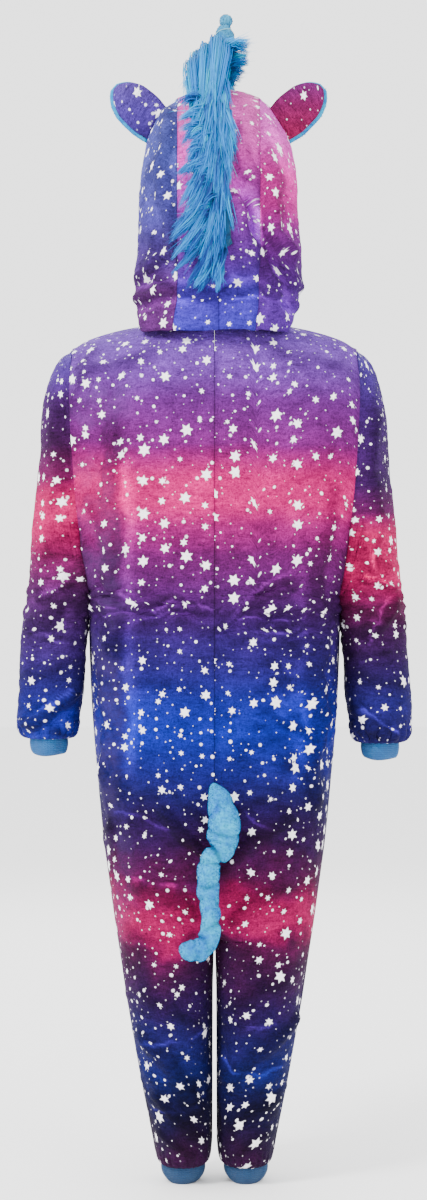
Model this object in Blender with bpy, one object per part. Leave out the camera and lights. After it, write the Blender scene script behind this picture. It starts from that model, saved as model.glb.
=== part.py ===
"""Unicorn onesie: a hooded one-piece fleece costume, hollow, filled out as when it is worn.

Metres, +Z up. The chest faces -Y and the wearer's left is +X. The origin lies between the
shoulders, level with the neck, where the wearer carries the garment.
"""
import math

import bpy
import numpy as np
from mathutils import Vector
from mathutils.bvhtree import BVHTree

COLLECTION = "unicorn_onesie"

# Cloth
WALL = 0.003                 # fleece with its nap
HOOD_WALL = 0.0022           # thinner, as it bends back sharply at its foot
SEAM_GAP = 0.0003            # between two sewn pieces
SEAT_GAP = 0.0004            # under a piece that is sewn on top of the cloth
SEARCH_START = 0.08          # how far off the cloth a search for it starts
SEAM_MISS = 0.0005           # searches run this far beside the middle seam, to meet a face

# Body
UNDERARM = -0.385
CROTCH = -0.880
CROTCH_DEPTH = 0.100         # height of the curve that the crotch seam makes
LEG_END = -1.2155
NECK_HALF = 0.085
NECK_BACK = 0.075
NECK_FRONT = 0.085
SHOULDER_END = 0.206
CAP_BACK = 0.090             # height over which the back rounds over to the shoulder seam
CAP_FRONT = 0.130
LEG_SQUARENESS = 2.2
SHOULDER_SQUARENESS = 2.3

# Grids: columns from the centre to the side, rows from the shoulder to the hem
PANEL_COLUMNS = 10
ARMHOLE_ROWS = 10
TORSO_ROWS = 8
CROTCH_ROWS = 5
LEG_ROWS = 8
HEM_TOP = 0.0155             # height of the hem over the leg's end
HEM_ROWS = (0.0095, 0.0045, 0.0)
NECK_COLUMNS = 5             # the columns that end on the neckline, not on the shoulder seam
PLACKET_COLUMNS = 2
GATHER_DEPTH = 0.0014
GATHER_SHARES = ((3, 0.4), (2, 1.0), (1, 0.5))   # rows from the end, and how far each is gathered

# Hood
HOOD_CORNER = (-0.080, -0.004)   # y and z of the point that the hood fans out from
HOOD_ROWS = 14
HOOD_FRONT_ANGLE = 94.0          # degrees above the level, seen from the side
STRIP_HALF = 0.058
STRIP_COLUMNS = 4
SIDE_COLUMNS = 6
HOOD_ROUNDNESS = 2.3
CORNER_REACH = 0.10              # the front corner lies this share out from the fan's point
SIDE_SPREAD = 1.3                # draws the side columns closer together near the corner
HOOD_SHIFT = -0.006              # the hood sits a little to the wearer's right
HOOD_SHIFT_RISE = 0.05           # height over which that shift comes in
THROAT_TAPER = 1.2               # how strongly the hood closes towards the throat
NECK_OVERHANG = 0.010            # how far the hood's foot stands out past the neckline
NECK_LAP = 0.0016                # the hood's edge lies on the neckline
OVERHANG_FADE = (7, 3)           # the column where the overhang starts to fade, and over how many
HOOD_CLEARANCE = 0.008           # between the hood's folded foot and the shoulders
FOOT_CLEARANCE = 0.0048          # between the row inside that fold and the shoulders
FOOT_TUCK = 0.002                # how far that row hangs under a straight line
HOOD_LIFT_ANGLE = 75.0           # degrees over which the foot's lift fades out
MANE_COLUMNS = 2                 # strip columns under the mane, on each side of the seam

CLOTH = (0.23, 0.09, 0.42)
TURQUOISE = (0.05, 0.42, 0.72)
PLUSH = (0.12, 0.52, 0.74)

BODY = (
    ("height", "half_width", "back", "front", "squareness"),
    (
        (0.040, 0.262, 0.100, 0.104, 2.2),
        (-0.030, 0.252, 0.112, 0.113, 2.3),
        (-0.100, 0.244, 0.122, 0.122, 2.4),
        (-0.200, 0.235, 0.127, 0.129, 2.5),
        (-0.300, 0.2170, 0.125, 0.130, 2.5),
        (-0.350, 0.2010, 0.121, 0.128, 2.5),
        (-0.372, 0.1900, 0.120, 0.127, 2.4),
        (UNDERARM, 0.1815, 0.119, 0.126, 2.4),
        (-0.424, 0.1808, 0.117, 0.124, 2.4),
        (-0.508, 0.178, 0.121, 0.123, 2.4),
        (-0.566, 0.1747, 0.129, 0.123, 2.4),
        (-0.650, 0.1675, 0.136, 0.120, 2.4),
        (-0.740, 0.1588, 0.132, 0.113, 2.3),
        (-0.798, 0.151, 0.122, 0.106, 2.3),
        (-0.856, 0.143, 0.110, 0.098, 2.2),
        (-0.914, 0.134, 0.100, 0.090, 2.2),
        (-0.972, 0.1254, 0.092, 0.085, 2.2),
        (-1.030, 0.1153, 0.086, 0.080, 2.2),
        (-1.088, 0.105, 0.078, 0.073, 2.2),
        (-1.146, 0.0935, 0.070, 0.065, 2.2),
        (-1.175, 0.0877, 0.065, 0.060, 2.2),
        (-1.200, 0.0830, 0.060, 0.054, 2.2),
        (-1.211, 0.0795, 0.053, 0.046, 2.2),
        (LEG_END, 0.0740, 0.0425, 0.0355, 2.1),
    ),
)
INSEAM = (
    ("height", "inner"),
    (
        (CROTCH + 0.001, 0.0040),
        (-0.914, 0.0050),
        (-0.972, 0.0062),
        (-1.088, 0.0065),
        (-1.175, 0.0068),
        (-1.200, 0.0088),
        (-1.211, 0.0120),
        (LEG_END, 0.0180),
    ),
)
ARMHOLE = (
    ("height", "reach"),
    (
        (-0.028, SHOULDER_END),
        (-0.100, 0.2080),
        (-0.200, 0.2030),
        (-0.310, 0.1925),
        (-0.350, 0.1860),
        (UNDERARM, 0.1815),
    ),
)
SHOULDER = (
    ("reach", "height"),
    (
        (0.000, 0.036),
        (0.040, 0.031),
        (NECK_HALF, 0.014),
        (0.110, 0.006),
        (0.139, 0.000),
        (0.185, -0.0145),
        (SHOULDER_END, -0.028),
    ),
)
SLEEVE = (
    ("row", "outer_x", "outer_z", "inner_x", "inner_z", "depth"),
    (
        (0, 0.2060, -0.0280, 0.1815, -0.3850, 0.080),
        (1, 0.2270, -0.0450, 0.1830, -0.3890, 0.083),
        (2, 0.2405, -0.0760, 0.1837, -0.3930, 0.082),
        (3, 0.2480, -0.1120, 0.1842, -0.3975, 0.079),
        (4, 0.2540, -0.1760, 0.1848, -0.4040, 0.073),
        (5, 0.2605, -0.2480, 0.1856, -0.4130, 0.067),
        (6, 0.2668, -0.3200, 0.1866, -0.4260, 0.062),
        (7, 0.2745, -0.3900, 0.1880, -0.4480, 0.058),
        (8, 0.2806, -0.4500, 0.1900, -0.4800, 0.055),
        (9, 0.2840, -0.5050, 0.1935, -0.5180, 0.052),
        (10, 0.2860, -0.5500, 0.1985, -0.5560, 0.050),
        (11, 0.2850, -0.5770, 0.2020, -0.5790, 0.048),
        (12, 0.2790, -0.5895, 0.2075, -0.5900, 0.044),
        (13, 0.2690, -0.5925, 0.2165, -0.5925, 0.037),
    ),
)
SLEEVE_LAST_ROW = 13
SLEEVE_ARMHOLE_ROWS = 5.0        # rows over which the armhole's shape fades out
SLEEVE_DROP = {"left": 0.0, "right": 0.006}      # the right sleeve hangs a little lower
SLEEVE_DROP_ROWS = (2, 8.0)      # the row where that drop starts, and how many it takes

HOOD = (
    ("angle", "radius", "half_width", "squareness"),
    (
        (0, 0.2080, 0.1290, 3.0),
        (8, 0.2160, 0.1360, 3.2),
        (16, 0.2290, 0.1385, 3.4),
        (24, 0.2480, 0.1375, 3.6),
        (38, 0.2880, 0.1320, 4.0),
        (51, 0.3330, 0.1240, 4.8),
        (64, 0.3620, 0.1210, 5.6),
        (78, 0.3690, 0.1190, 5.6),
        (88, 0.3570, 0.1120, 4.8),
        (HOOD_FRONT_ANGLE, 0.3430, 0.1050, 4.2),
    ),
)
EAR = {
    "length": 0.096,
    "lean": 41.0,                # degrees up from the level
    "root": (0.078, 0.012, 0.296),
    "wall": 0.003,
    "cup": 0.010,                # how far the edges bend forward
    "cup_width": 0.0285,
    "lining_rim": 0.003,         # how far the lining shows past the ear
    "foot_gap": 0.0006,
}
EAR_OUTLINE = (
    ("along", "half_width"),
    ((0.00, 0.0255), (0.30, 0.0290), (0.60, 0.0275), (0.82, 0.0205), (0.94, 0.0120), (1.00, 0.0040)),
)
EAR_ROWS = 8
EAR_COLUMNS = 6

HORN = {
    "foot_y": -0.070,
    "tip": (-0.0173, -0.108, 0.4800),
    "sides": 14,
    "rings": 22,
    "wound": 0.93,               # share of its length up to the ball
}
HORN_PROFILE = (
    ("along", "radius"),
    (
        (0.00, 0.0215), (0.08, 0.0240), (0.17, 0.0190), (0.26, 0.0222), (0.36, 0.0175), (0.46, 0.0205),
        (0.56, 0.0155), (0.66, 0.0182), (0.75, 0.0130), (0.84, 0.0158), (0.90, 0.0115), (0.93, 0.0062),
    ),
)
HORN_BALL = 0.0096

MANE = (
    ("along", "left", "right", "height", "droop"),
    (
        (0.00, 0.032, 0.036, 0.062, -0.026),
        (0.07, 0.046, 0.048, 0.078, -0.010),
        (0.18, 0.046, 0.040, 0.075, 0.004),
        (0.30, 0.038, 0.024, 0.050, 0.012),
        (0.50, 0.052, 0.020, 0.038, 0.010),
        (0.70, 0.064, 0.022, 0.034, 0.010),
        (0.82, 0.062, 0.027, 0.032, 0.008),
        (0.93, 0.050, 0.016, 0.026, 0.006),
        (1.00, 0.036, 0.012, 0.016, 0.004),
    ),
)
MANE_FIRST_ROW = 2
MANE_LAST_ROW = 12
MANE_STEPS = 3               # rows of tufts to each hood row
MANE_BACKING = 0.004
MANE_SPREAD = 9              # points across the top of the pile
TUFT_DEPTH = 0.16

TAIL = (
    ("x", "z", "off_back", "radius"),
    (
        (0.0000, -0.6550, 0.0004, 0.0070),
        (-0.0020, -0.6600, 0.0100, 0.0100),
        (-0.0090, -0.6790, 0.0240, 0.0175),
        (-0.0130, -0.7090, 0.0300, 0.0232),
        (-0.0125, -0.7400, 0.0290, 0.0212),
        (-0.0050, -0.7650, 0.0270, 0.0165),
        (0.0085, -0.8060, 0.0280, 0.0153),
        (0.0108, -0.8410, 0.0360, 0.0146),
        (0.0060, -0.8680, 0.0440, 0.0155),
        (0.0100, -0.8920, 0.0500, 0.0160),
        (0.0240, -0.9060, 0.0520, 0.0155),
        (0.0380, -0.9060, 0.0520, 0.0158),
        (0.0480, -0.9040, 0.0520, 0.0100),
    ),
)
TAIL_SIDES = 10
TAIL_ROWS = 30
TAIL_HANG = -0.80            # lower than this the tail hangs free, and keeps off the back's line here
TAIL_TIP = 0.6               # how far the end stands out, as a share of its radius

WRIST_CUFF = {"centre": 0.2428, "top": -0.5925, "half_width": 0.0255, "depth": 0.0360, "height": 0.024}
ANKLE_CUFF = {
    "centre": 0.0460, "top": -1.2160, "half_width": 0.0300, "back": 0.0440, "front": 0.0370, "height": 0.025,
}
CUFF_PROFILE = (
    ("down", "narrower"),
    ((0.0, 0.0), (0.5, -0.0008), (1.0, 0.0016)),
)

PLACKET = {"thickness": 0.0025, "bottom": -0.600, "inset": 0.0006}
BUTTON = {"radius": 0.010, "thickness": 0.0035, "count": 5, "first": -0.060, "last": -0.560, "sides": 20}

# Creases, each a soft trough (-) or ridge (+) between two points of the x-z view
CREASE_SIDE_FADE = 0.03                  # they fade out this close to the side seams
CREASE_END = (0.7, 0.35, 0.1, 0.0)       # and over the last rows of each piece
CREASE_COLUMNS = ("face", "x0", "z0", "x1", "z1", "width", "rise")
CREASES = (
    # back of the body
    (1, 0.173, -0.408, 0.060, -0.398, 0.012, -0.0050),
    (1, 0.060, -0.398, -0.060, -0.412, 0.013, -0.0045),
    (1, -0.060, -0.412, -0.175, -0.400, 0.012, -0.0055),
    (1, 0.150, -0.385, -0.150, -0.384, 0.016, 0.0030),
    (1, 0.147, -0.150, 0.143, -0.660, 0.013, -0.0060),
    (1, 0.128, -0.200, 0.122, -0.620, 0.012, 0.0030),
    (1, -0.147, -0.333, -0.142, -0.680, 0.013, -0.0060),
    (1, -0.128, -0.360, -0.124, -0.640, 0.012, 0.0030),
    (1, 0.072, -0.699, 0.014, -0.751, 0.010, -0.0060),
    (1, -0.018, -0.765, -0.095, -0.705, 0.012, -0.0045),
    (1, 0.110, -0.800, 0.030, -0.835, 0.012, -0.0035),
    (1, 0.094, -1.027, 0.021, -1.131, 0.013, -0.0060),
    (1, -0.109, -1.000, -0.030, -1.080, 0.013, -0.0055),
    (1, 0.080, -1.110, 0.030, -1.165, 0.011, -0.0030),
    # armholes and sleeves, seen from behind
    (1, 0.197, -0.300, 0.186, -0.400, 0.013, -0.0040),
    (1, -0.196, -0.290, -0.186, -0.400, 0.013, -0.0040),
    (1, 0.263, -0.568, 0.202, -0.522, 0.011, -0.0080),
    (1, 0.262, -0.584, 0.210, -0.556, 0.010, 0.0045),
    (1, -0.211, -0.554, -0.258, -0.588, 0.011, -0.0065),
    (1, 0.225, -0.400, 0.262, -0.430, 0.013, -0.0045),
    (1, -0.225, -0.430, -0.262, -0.400, 0.013, -0.0045),
    # hood, seen from behind
    (1, -0.020, 0.235, -0.112, 0.022, 0.015, 0.0085),
    (1, -0.082, 0.205, -0.108, 0.050, 0.018, -0.0130),
    (1, 0.100, 0.047, -0.096, 0.046, 0.009, -0.0045),
    (1, 0.068, 0.200, 0.062, 0.110, 0.010, -0.0060),
    # front
    (-1, 0.170, -0.400, 0.030, -0.412, 0.013, -0.0050),
    (-1, -0.030, -0.405, -0.170, -0.396, 0.013, -0.0050),
    (-1, 0.146, -0.180, 0.142, -0.640, 0.013, -0.0050),
    (-1, -0.146, -0.250, -0.141, -0.660, 0.013, -0.0055),
    (-1, 0.090, -0.760, 0.024, -0.815, 0.012, -0.0050),
    (-1, -0.085, -0.745, -0.022, -0.808, 0.012, -0.0050),
    (-1, 0.095, -1.010, 0.025, -1.060, 0.013, -0.0045),
    (-1, -0.098, -1.040, -0.028, -1.095, 0.013, -0.0050),
    (-1, 0.197, -0.290, 0.186, -0.390, 0.013, -0.0035),
    (-1, -0.197, -0.280, -0.186, -0.390, 0.013, -0.0035),
    (-1, 0.212, -0.548, 0.262, -0.580, 0.011, -0.0060),
    (-1, -0.212, -0.540, -0.262, -0.572, 0.011, -0.0060),
)


def read(table, column, at):
    """A named column at a place along the table's first column, on a smooth curve."""
    columns, rows = table
    rows = np.array(sorted(rows), float)
    x = rows[:, 0]
    y = rows[:, columns.index(column)]
    step = np.diff(x)
    rise = np.diff(y) / step
    slope = np.concatenate([rise[:1], np.zeros(len(x) - 2), rise[-1:]])
    product = rise[:-1] * rise[1:]
    turning = product <= 0
    total = np.where(turning, 1.0, rise[:-1] + rise[1:])
    slope[1:-1] = np.where(turning, 0.0, 2 * product / total)
    at = np.clip(np.asarray(at, float), x[0], x[-1])
    i = np.clip(np.searchsorted(x, at) - 1, 0, len(x) - 2)
    t = (at - x[i]) / step[i]
    start = (1 + 2 * t) * (1 - t) ** 2 * y[i] + t * (1 - t) ** 2 * step[i] * slope[i]
    end = t * t * (3 - 2 * t) * y[i + 1] - t * t * (1 - t) * step[i] * slope[i + 1]
    return start + end


def smooth_step(t):
    t = np.clip(t, 0.0, 1.0)
    return t * t * (3 - 2 * t)


def round_cosine(turn, squareness):
    """Cosine of a superellipse: 1 at no turn, -1 at half a turn."""
    value = math.cos(math.pi * turn)
    return math.copysign(abs(value) ** (2 / squareness), value)


def column_share(column):
    """How far out a panel column lies, 0 at the centre and 1 at the side."""
    return (1 - round_cosine(column / PANEL_COLUMNS, LEG_SQUARENESS)) / 2


# Body and legs
def body_depth(x, z, face):
    """How far the body's surface stands from the middle at (x, z), on the back or the front."""
    side = "back" if face > 0 else "front"
    depth = float(read(BODY, side, z))
    half_width = float(read(BODY, "half_width", z))
    squareness = float(read(BODY, "squareness", z))
    across = max(0.0, 1 - (abs(x) / half_width) ** squareness) ** (1 / squareness)
    cap = CAP_BACK if face > 0 else CAP_FRONT
    below = np.clip((float(read(SHOULDER, "height", abs(x))) - z) / cap, 0.0, 1.0)
    return depth * across * math.sqrt(1 - (1 - below) ** 2)


def top_point(share, face):
    """(x, z) where a column ends: on the neckline, or further out on the shoulder seam."""
    if share < 0.5:
        x = NECK_HALF * 2 * share
    else:
        x = NECK_HALF + (SHOULDER_END - NECK_HALF) * (2 * share - 1)
    shoulder = float(read(SHOULDER, "height", x))
    if x >= NECK_HALF:
        return x, shoulder
    neck = (NECK_BACK if face > 0 else NECK_FRONT) * math.sqrt(1 - (x / NECK_HALF) ** 2)
    cap = CAP_BACK if face > 0 else CAP_FRONT
    full = float(read(BODY, "back" if face > 0 else "front", shoulder))
    half_width = float(read(BODY, "half_width", shoulder))
    squareness = float(read(BODY, "squareness", shoulder))
    full *= (1 - (x / half_width) ** squareness) ** (1 / squareness)
    return x, shoulder - cap * (1 - math.sqrt(1 - (neck / full) ** 2))


def upper_point(column, row, face):
    """A point of the rows beside the armhole. Row 0 is the shoulder."""
    share = column_share(column)
    rise = (1 + math.cos(math.pi * row / ARMHOLE_ROWS)) / 2
    top_x, top_z = top_point(share, face)
    z = UNDERARM + (top_z - UNDERARM) * rise
    edge_z = UNDERARM + (top_point(1.0, face)[1] - UNDERARM) * rise
    edge_x = float(read(ARMHOLE, "reach", edge_z))
    x = edge_x * ((1 - rise) * share + rise * top_x / SHOULDER_END)
    if row == 0 and column >= NECK_COLUMNS:
        return x, 0.0, z
    return x, face * body_depth(x, z, face), z


def leg_share(z):
    """0 where the ring is all body, 1 where it is all leg, on the curve of the crotch seam."""
    t = np.clip((CROTCH + CROTCH_DEPTH - z) / CROTCH_DEPTH, 0.0, 1.0)
    return 1 - math.sqrt(1 - t * t)


def lower_point(column, z, face):
    """A point of the rows below the underarm."""
    share = column_share(column)
    blend = leg_share(z)
    outer = float(read(BODY, "half_width", z))
    inner = blend * float(read(INSEAM, "inner", z))
    squareness = float(read(BODY, "squareness", z))
    depth = float(read(BODY, "back" if face > 0 else "front", z))
    body_y = depth * max(0.0, 1 - share ** squareness) ** (1 / squareness)
    leg_y = depth * math.sin(math.pi * column / PANEL_COLUMNS) ** (2 / LEG_SQUARENESS)
    if column in (0, PANEL_COLUMNS):
        leg_y = 0.0
    x = inner + (outer - inner) * share
    return x, face * ((1 - blend) * body_y + blend * leg_y), z


def row_heights():
    """Heights of the rows from the underarm down, the underarm's own row left out."""
    crotch_top = CROTCH + CROTCH_DEPTH
    torso = np.linspace(UNDERARM, crotch_top, TORSO_ROWS + 1)[1:]
    quarter = np.linspace(0, math.pi / 2, CROTCH_ROWS + 1)[1:]
    crotch = crotch_top - CROTCH_DEPTH * np.sin(quarter)
    leg = np.linspace(CROTCH, LEG_END + HEM_TOP, LEG_ROWS + 1)[1:]
    hem = LEG_END + np.array(HEM_ROWS)
    return np.concatenate([torso, crotch, leg, hem])


def panel_grid(side, face):
    """Outer points of a back or front panel, shoulder to hem, centre to side."""
    rows = []
    for row in range(ARMHOLE_ROWS + 1):
        rows.append([upper_point(c, row, face) for c in range(PANEL_COLUMNS + 1)])
    heights = row_heights()
    for height in heights:
        rows.append([lower_point(c, float(height), face) for c in range(PANEL_COLUMNS + 1)])
    grid = np.array(rows)
    gather_hem(grid, 1)
    grid[:, :, 0] *= side
    return grid


def gather_hem(grid, keep):
    """Gathers the last rows: every other point goes in, the rest go out, but for those kept."""
    for step, weight in GATHER_SHARES:
        ring = grid[-step]
        middle = ring.mean(axis=0)
        for i in range(keep, len(ring) - keep):
            out = ring[i] - middle
            out[2] = 0
            out /= np.linalg.norm(out)
            ring[i] += out * GATHER_DEPTH * weight * (1 if i % 2 else -1)


# Sleeves
def sleeve_ring(row, turn):
    """A point of a sleeve ring. Turn 0 is the outer line, 0.25 the back, 0.5 the inner line."""
    outer = np.array([read(SLEEVE, "outer_x", row), 0.0, read(SLEEVE, "outer_z", row)])
    inner = np.array([read(SLEEVE, "inner_x", row), 0.0, read(SLEEVE, "inner_z", row)])
    depth = float(read(SLEEVE, "depth", row))
    angle = 2 * math.pi * turn
    point = (outer + inner) / 2 + (outer - inner) / 2 * math.cos(angle)
    point[1] = depth * math.sin(angle)
    return point


def armhole_point(column):
    """The armhole's own point for a sleeve column, taken from the body's outer columns."""
    half = ARMHOLE_ROWS
    if column <= half:
        return np.array(upper_point(PANEL_COLUMNS, column, 1))
    return np.array(upper_point(PANEL_COLUMNS, 2 * half - column, -1))


def sleeve_grid(side, name):
    """Rows from the armhole to the wrist, columns once round the arm."""
    columns = 2 * ARMHOLE_ROWS
    rows = []
    for row in range(SLEEVE_LAST_ROW + 1):
        fade = 1 - smooth_step(row / SLEEVE_ARMHOLE_ROWS)
        start, run = SLEEVE_DROP_ROWS
        drop = SLEEVE_DROP[name] * smooth_step((row - start) / run)
        ring = []
        for column in range(columns):
            turn = column / columns
            point = sleeve_ring(row, turn)
            point += (armhole_point(column) - sleeve_ring(0, turn)) * fade
            point[2] -= drop
            ring.append(point)
        rows.append(ring)
    grid = np.array(rows)
    grid[0] = [armhole_point(column) for column in range(columns)]
    gather_hem(grid, 0)
    grid[:, :, 0] *= side
    return grid


# Hood
def hood_point(angle, column):
    """A point of the hood. Column 0 is the middle seam and the last is the front corner."""
    radius = float(read(HOOD, "radius", angle))
    half_width = float(read(HOOD, "half_width", angle))
    squareness = float(read(HOOD, "squareness", angle))
    if column <= STRIP_COLUMNS:
        x = STRIP_HALF * column_share(column) / column_share(STRIP_COLUMNS)
        reach = (1 - (x / half_width) ** HOOD_ROUNDNESS) ** (1 / squareness)
    else:
        seam = (1 - (STRIP_HALF / half_width) ** HOOD_ROUNDNESS) ** (1 / squareness)
        t = (SIDE_COLUMNS + STRIP_COLUMNS - column) / SIDE_COLUMNS
        reach = CORNER_REACH + (seam - CORNER_REACH) * (1 - (1 - t) ** SIDE_SPREAD)
        x = half_width * (1 - reach ** squareness) ** (1 / HOOD_ROUNDNESS)
        x *= 1 - THROAT_TAPER * (1 - reach) ** 3 * (1 - t) ** 0.3
    y = HOOD_CORNER[0] + reach * radius * math.cos(math.radians(angle))
    z = HOOD_CORNER[1] + reach * radius * math.sin(math.radians(angle))
    return np.array([x, y, z])


def neck_under(point):
    """The point of the body's neckline that lies straight in from a point of the hood's foot."""
    back = [upper_point(c, 0, 1) for c in range(NECK_COLUMNS + 1)]
    front = [upper_point(c, 0, -1) for c in range(NECK_COLUMNS - 1, -1, -1)]
    line = np.array(back + front)
    turns = np.arctan2(line[:, 0], line[:, 1])
    turn = math.atan2(max(point[0], 0.0), point[1])
    return np.array([np.interp(turn, turns, line[:, axis]) for axis in range(3)])


def body_top(x, y):
    """Height of the body's surface under a point of the hood."""
    shoulder = float(read(SHOULDER, "height", abs(x)))
    cap = CAP_BACK if y > 0 else CAP_FRONT
    full = float(read(BODY, "back" if y > 0 else "front", shoulder - cap / 2))
    half_width = float(read(BODY, "half_width", shoulder))
    full *= (1 - (abs(x) / half_width) ** SHOULDER_SQUARENESS) ** (1 / SHOULDER_SQUARENESS)
    out = min(1.0, abs(y) / full)
    return shoulder - cap * (1 - math.sqrt(1 - out * out))


def hood_grid(side):
    """Rows from the face edge over the crest and down to the neckline, columns from the middle."""
    angles = np.linspace(HOOD_FRONT_ANGLE, 0.0, HOOD_ROWS + 1)
    columns = range(STRIP_COLUMNS + SIDE_COLUMNS + 1)
    grid = np.array([[hood_point(angle, c) for c in columns] for angle in angles])
    neck = np.array([neck_under(point) for point in grid[-1]])
    foot = grid[-1].copy()
    fade_start, fade_run = OVERHANG_FADE
    for column, (point, inner) in enumerate(zip(foot, neck)):
        overhang = NECK_OVERHANG * (1 - float(smooth_step((column - fade_start) / fade_run)))
        least = math.hypot(inner[0], inner[1]) + overhang
        point[:2] *= max(1.0, least / math.hypot(point[0], point[1]))
        point[2] = max(point[2], body_top(point[0], point[1]) + HOOD_CLEARANCE)
    weight = np.clip(1 - angles / HOOD_LIFT_ANGLE, 0.0, 1.0) ** 2
    grid += weight[:, None, None] * (foot - grid[-1])[None]
    under = 0.5 * foot + 0.5 * neck
    resting = [body_top(point[0], point[1]) + FOOT_CLEARANCE for point in under]
    under[:, 2] = np.maximum(under[:, 2] - FOOT_TUCK, resting)
    neck[:, 2] += NECK_LAP
    grid = np.concatenate([grid, [under], [neck]])
    rise = smooth_step((grid[:, :, 2] - HOOD_CORNER[1]) / HOOD_SHIFT_RISE)
    grid[:, :, 0] = side * grid[:, :, 0] + HOOD_SHIFT * rise
    return grid


# Cloth
def crease_height(point):
    """How far the creases lift the cloth at a point."""
    x, y, z = point
    total = 0.0
    for crease in CREASES:
        row = dict(zip(CREASE_COLUMNS, crease))
        if y * row["face"] <= 0:
            continue
        run = np.array([row["x1"] - row["x0"], row["z1"] - row["z0"]])
        length = float(np.linalg.norm(run))
        run /= length
        from_start = np.array([x - row["x0"], z - row["z0"]])
        along = float(from_start @ run) / length
        beyond = max(0.0, -along, along - 1) * length
        aside = abs(float(from_start[0] * run[1] - from_start[1] * run[0]))
        distance = math.hypot(aside, beyond)
        total += row["rise"] * math.exp(-(distance / row["width"]) ** 2)
    return total * float(smooth_step(abs(y) / CREASE_SIDE_FADE))


def grid_faces(grid, closed):
    """Corner indices (row, column) of the grid's quads, outside facing out."""
    rows, columns = grid.shape[:2]
    last = columns if closed else columns - 1
    for row in range(rows - 1):
        for column in range(last):
            after = (column + 1) % columns
            yield (row, column), (row, after), (row + 1, after), (row + 1, column)


def spot(point):
    """A key that is the same for points that two panels share."""
    return tuple(int(round(float(value) * 20000)) for value in point)


def shared_normals(pieces, across_groups):
    """Outward normals of all the cloth, worked out across the seams.

    Within a group (body, sleeve, hood) the cloth is smooth over its seams. Between groups it
    turns: where it turns little both pieces lean to the same normal, so that their edges meet,
    and where it folds back on itself each keeps its own.
    """
    sums = {}
    for piece in pieces:
        grid = piece["grid"]
        for face in grid_faces(grid, piece["closed"]):
            a, b, c, d = (grid[corner] for corner in face)
            normal = np.cross(c - a, d - b) * piece["turned"]
            normal /= np.linalg.norm(normal)
            for corner in face:
                groups = sums.setdefault(spot(grid[corner]), {})
                groups[piece["group"]] = groups.get(piece["group"], 0) + normal
    for piece in pieces:
        grid = piece["grid"]
        normals = np.zeros_like(grid)
        for index in np.ndindex(grid.shape[:2]):
            units = {key: unit(total) for key, total in sums[spot(grid[index])].items()}
            own = units.pop(piece["group"])
            normal = own
            for other in units.values():
                likeness = float(own @ other)
                share = 1.0 if across_groups else float(smooth_step((likeness + 0.1) / 0.6))
                normal = normal + other * share
            normals[index] = unit(normal)
        piece["normals"] = normals


def unit(vector):
    return vector / np.linalg.norm(vector)


def crease_cloth(pieces):
    """Moves the cloth by its creases, which fade out over each piece's last rows."""
    shared_normals(pieces, across_groups=True)
    for piece in pieces:
        grid = piece["grid"]
        heights = np.array([[crease_height(point) for point in row] for row in grid])
        heights[-len(CREASE_END):] *= np.array(CREASE_END)[:, None]
        piece["grid"] = grid + piece["normals"] * heights[:, :, None]
    shared_normals(pieces, across_groups=False)


def pull_in(grid, normals, closed, amount):
    """Draws the open edges of a grid back along the cloth, to leave half a seam gap."""
    result = grid.copy()
    rows, columns = grid.shape[:2]
    for edge, within in ((0, 1), (rows - 1, rows - 2)):
        for column in range(columns):
            before = grid[edge, (column - 1) % columns if closed else max(column - 1, 0)]
            after = grid[edge, (column + 1) % columns if closed else min(column + 1, columns - 1)]
            towards = grid[within, column] - grid[edge, column]
            result[edge, column] += inward(before, after, normals[edge, column], towards) * amount
    if not closed:
        for edge, within in ((0, 1), (columns - 1, columns - 2)):
            for row in range(rows):
                before = grid[max(row - 1, 0), edge]
                after = grid[min(row + 1, rows - 1), edge]
                towards = grid[row, within] - grid[row, edge]
                result[row, edge] += inward(before, after, normals[row, edge], towards) * amount
    return result


def inward(before, after, normal, towards):
    """Unit step across an edge, along the cloth, to the side that the cloth lies on."""
    across = np.cross(after - before, normal)
    across /= np.linalg.norm(across)
    return across if float(across @ towards) > 0 else -across


def wall_mesh(name, outer, inner, closed, turned):
    """A closed wall between two grids of the same size."""
    rows, columns = outer.shape[:2]
    points = np.concatenate([outer.reshape(-1, 3), inner.reshape(-1, 3)])
    offset = rows * columns
    faces = []

    def index(corner):
        return corner[0] * columns + corner[1]

    for face in grid_faces(outer, closed):
        a, b, c, d = (index(corner) for corner in face)
        faces += [(a, b, c), (a, c, d)]
        faces += [(offset + c, offset + b, offset + a), (offset + d, offset + c, offset + a)]
    last = columns if closed else columns - 1
    for column in range(last):
        after = (column + 1) % columns
        top, bottom = (0, column), (rows - 1, column)
        faces += rim(index(top), index((0, after)), offset)
        faces += rim(index((rows - 1, after)), index(bottom), offset)
    if not closed:
        for row in range(rows - 1):
            faces += rim(index((row + 1, 0)), index((row, 0)), offset)
            faces += rim(index((row, columns - 1)), index((row + 1, columns - 1)), offset)
    if turned < 0:
        faces = [face[::-1] for face in faces]
    return new_object(name, points, faces)


def rim(start, end, offset):
    """The two triangles that close a wall's edge."""
    return [(end, start, start + offset), (end, start + offset, end + offset)]


def cloth_piece(name, group, grid, turned, closed=False):
    return {"name": name, "group": group, "grid": grid, "closed": closed, "turned": turned}


def cloth_wall(piece, wall=WALL):
    outer = pull_in(piece["grid"], piece["normals"], piece["closed"], SEAM_GAP / 2)
    inner = outer - piece["normals"] * wall
    return wall_mesh(piece["name"], outer, inner, piece["closed"], piece["turned"])


# Scene helpers
def new_collection(name):
    collection = bpy.data.collections.new(name)
    bpy.context.scene.collection.children.link(collection)
    return collection


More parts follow.
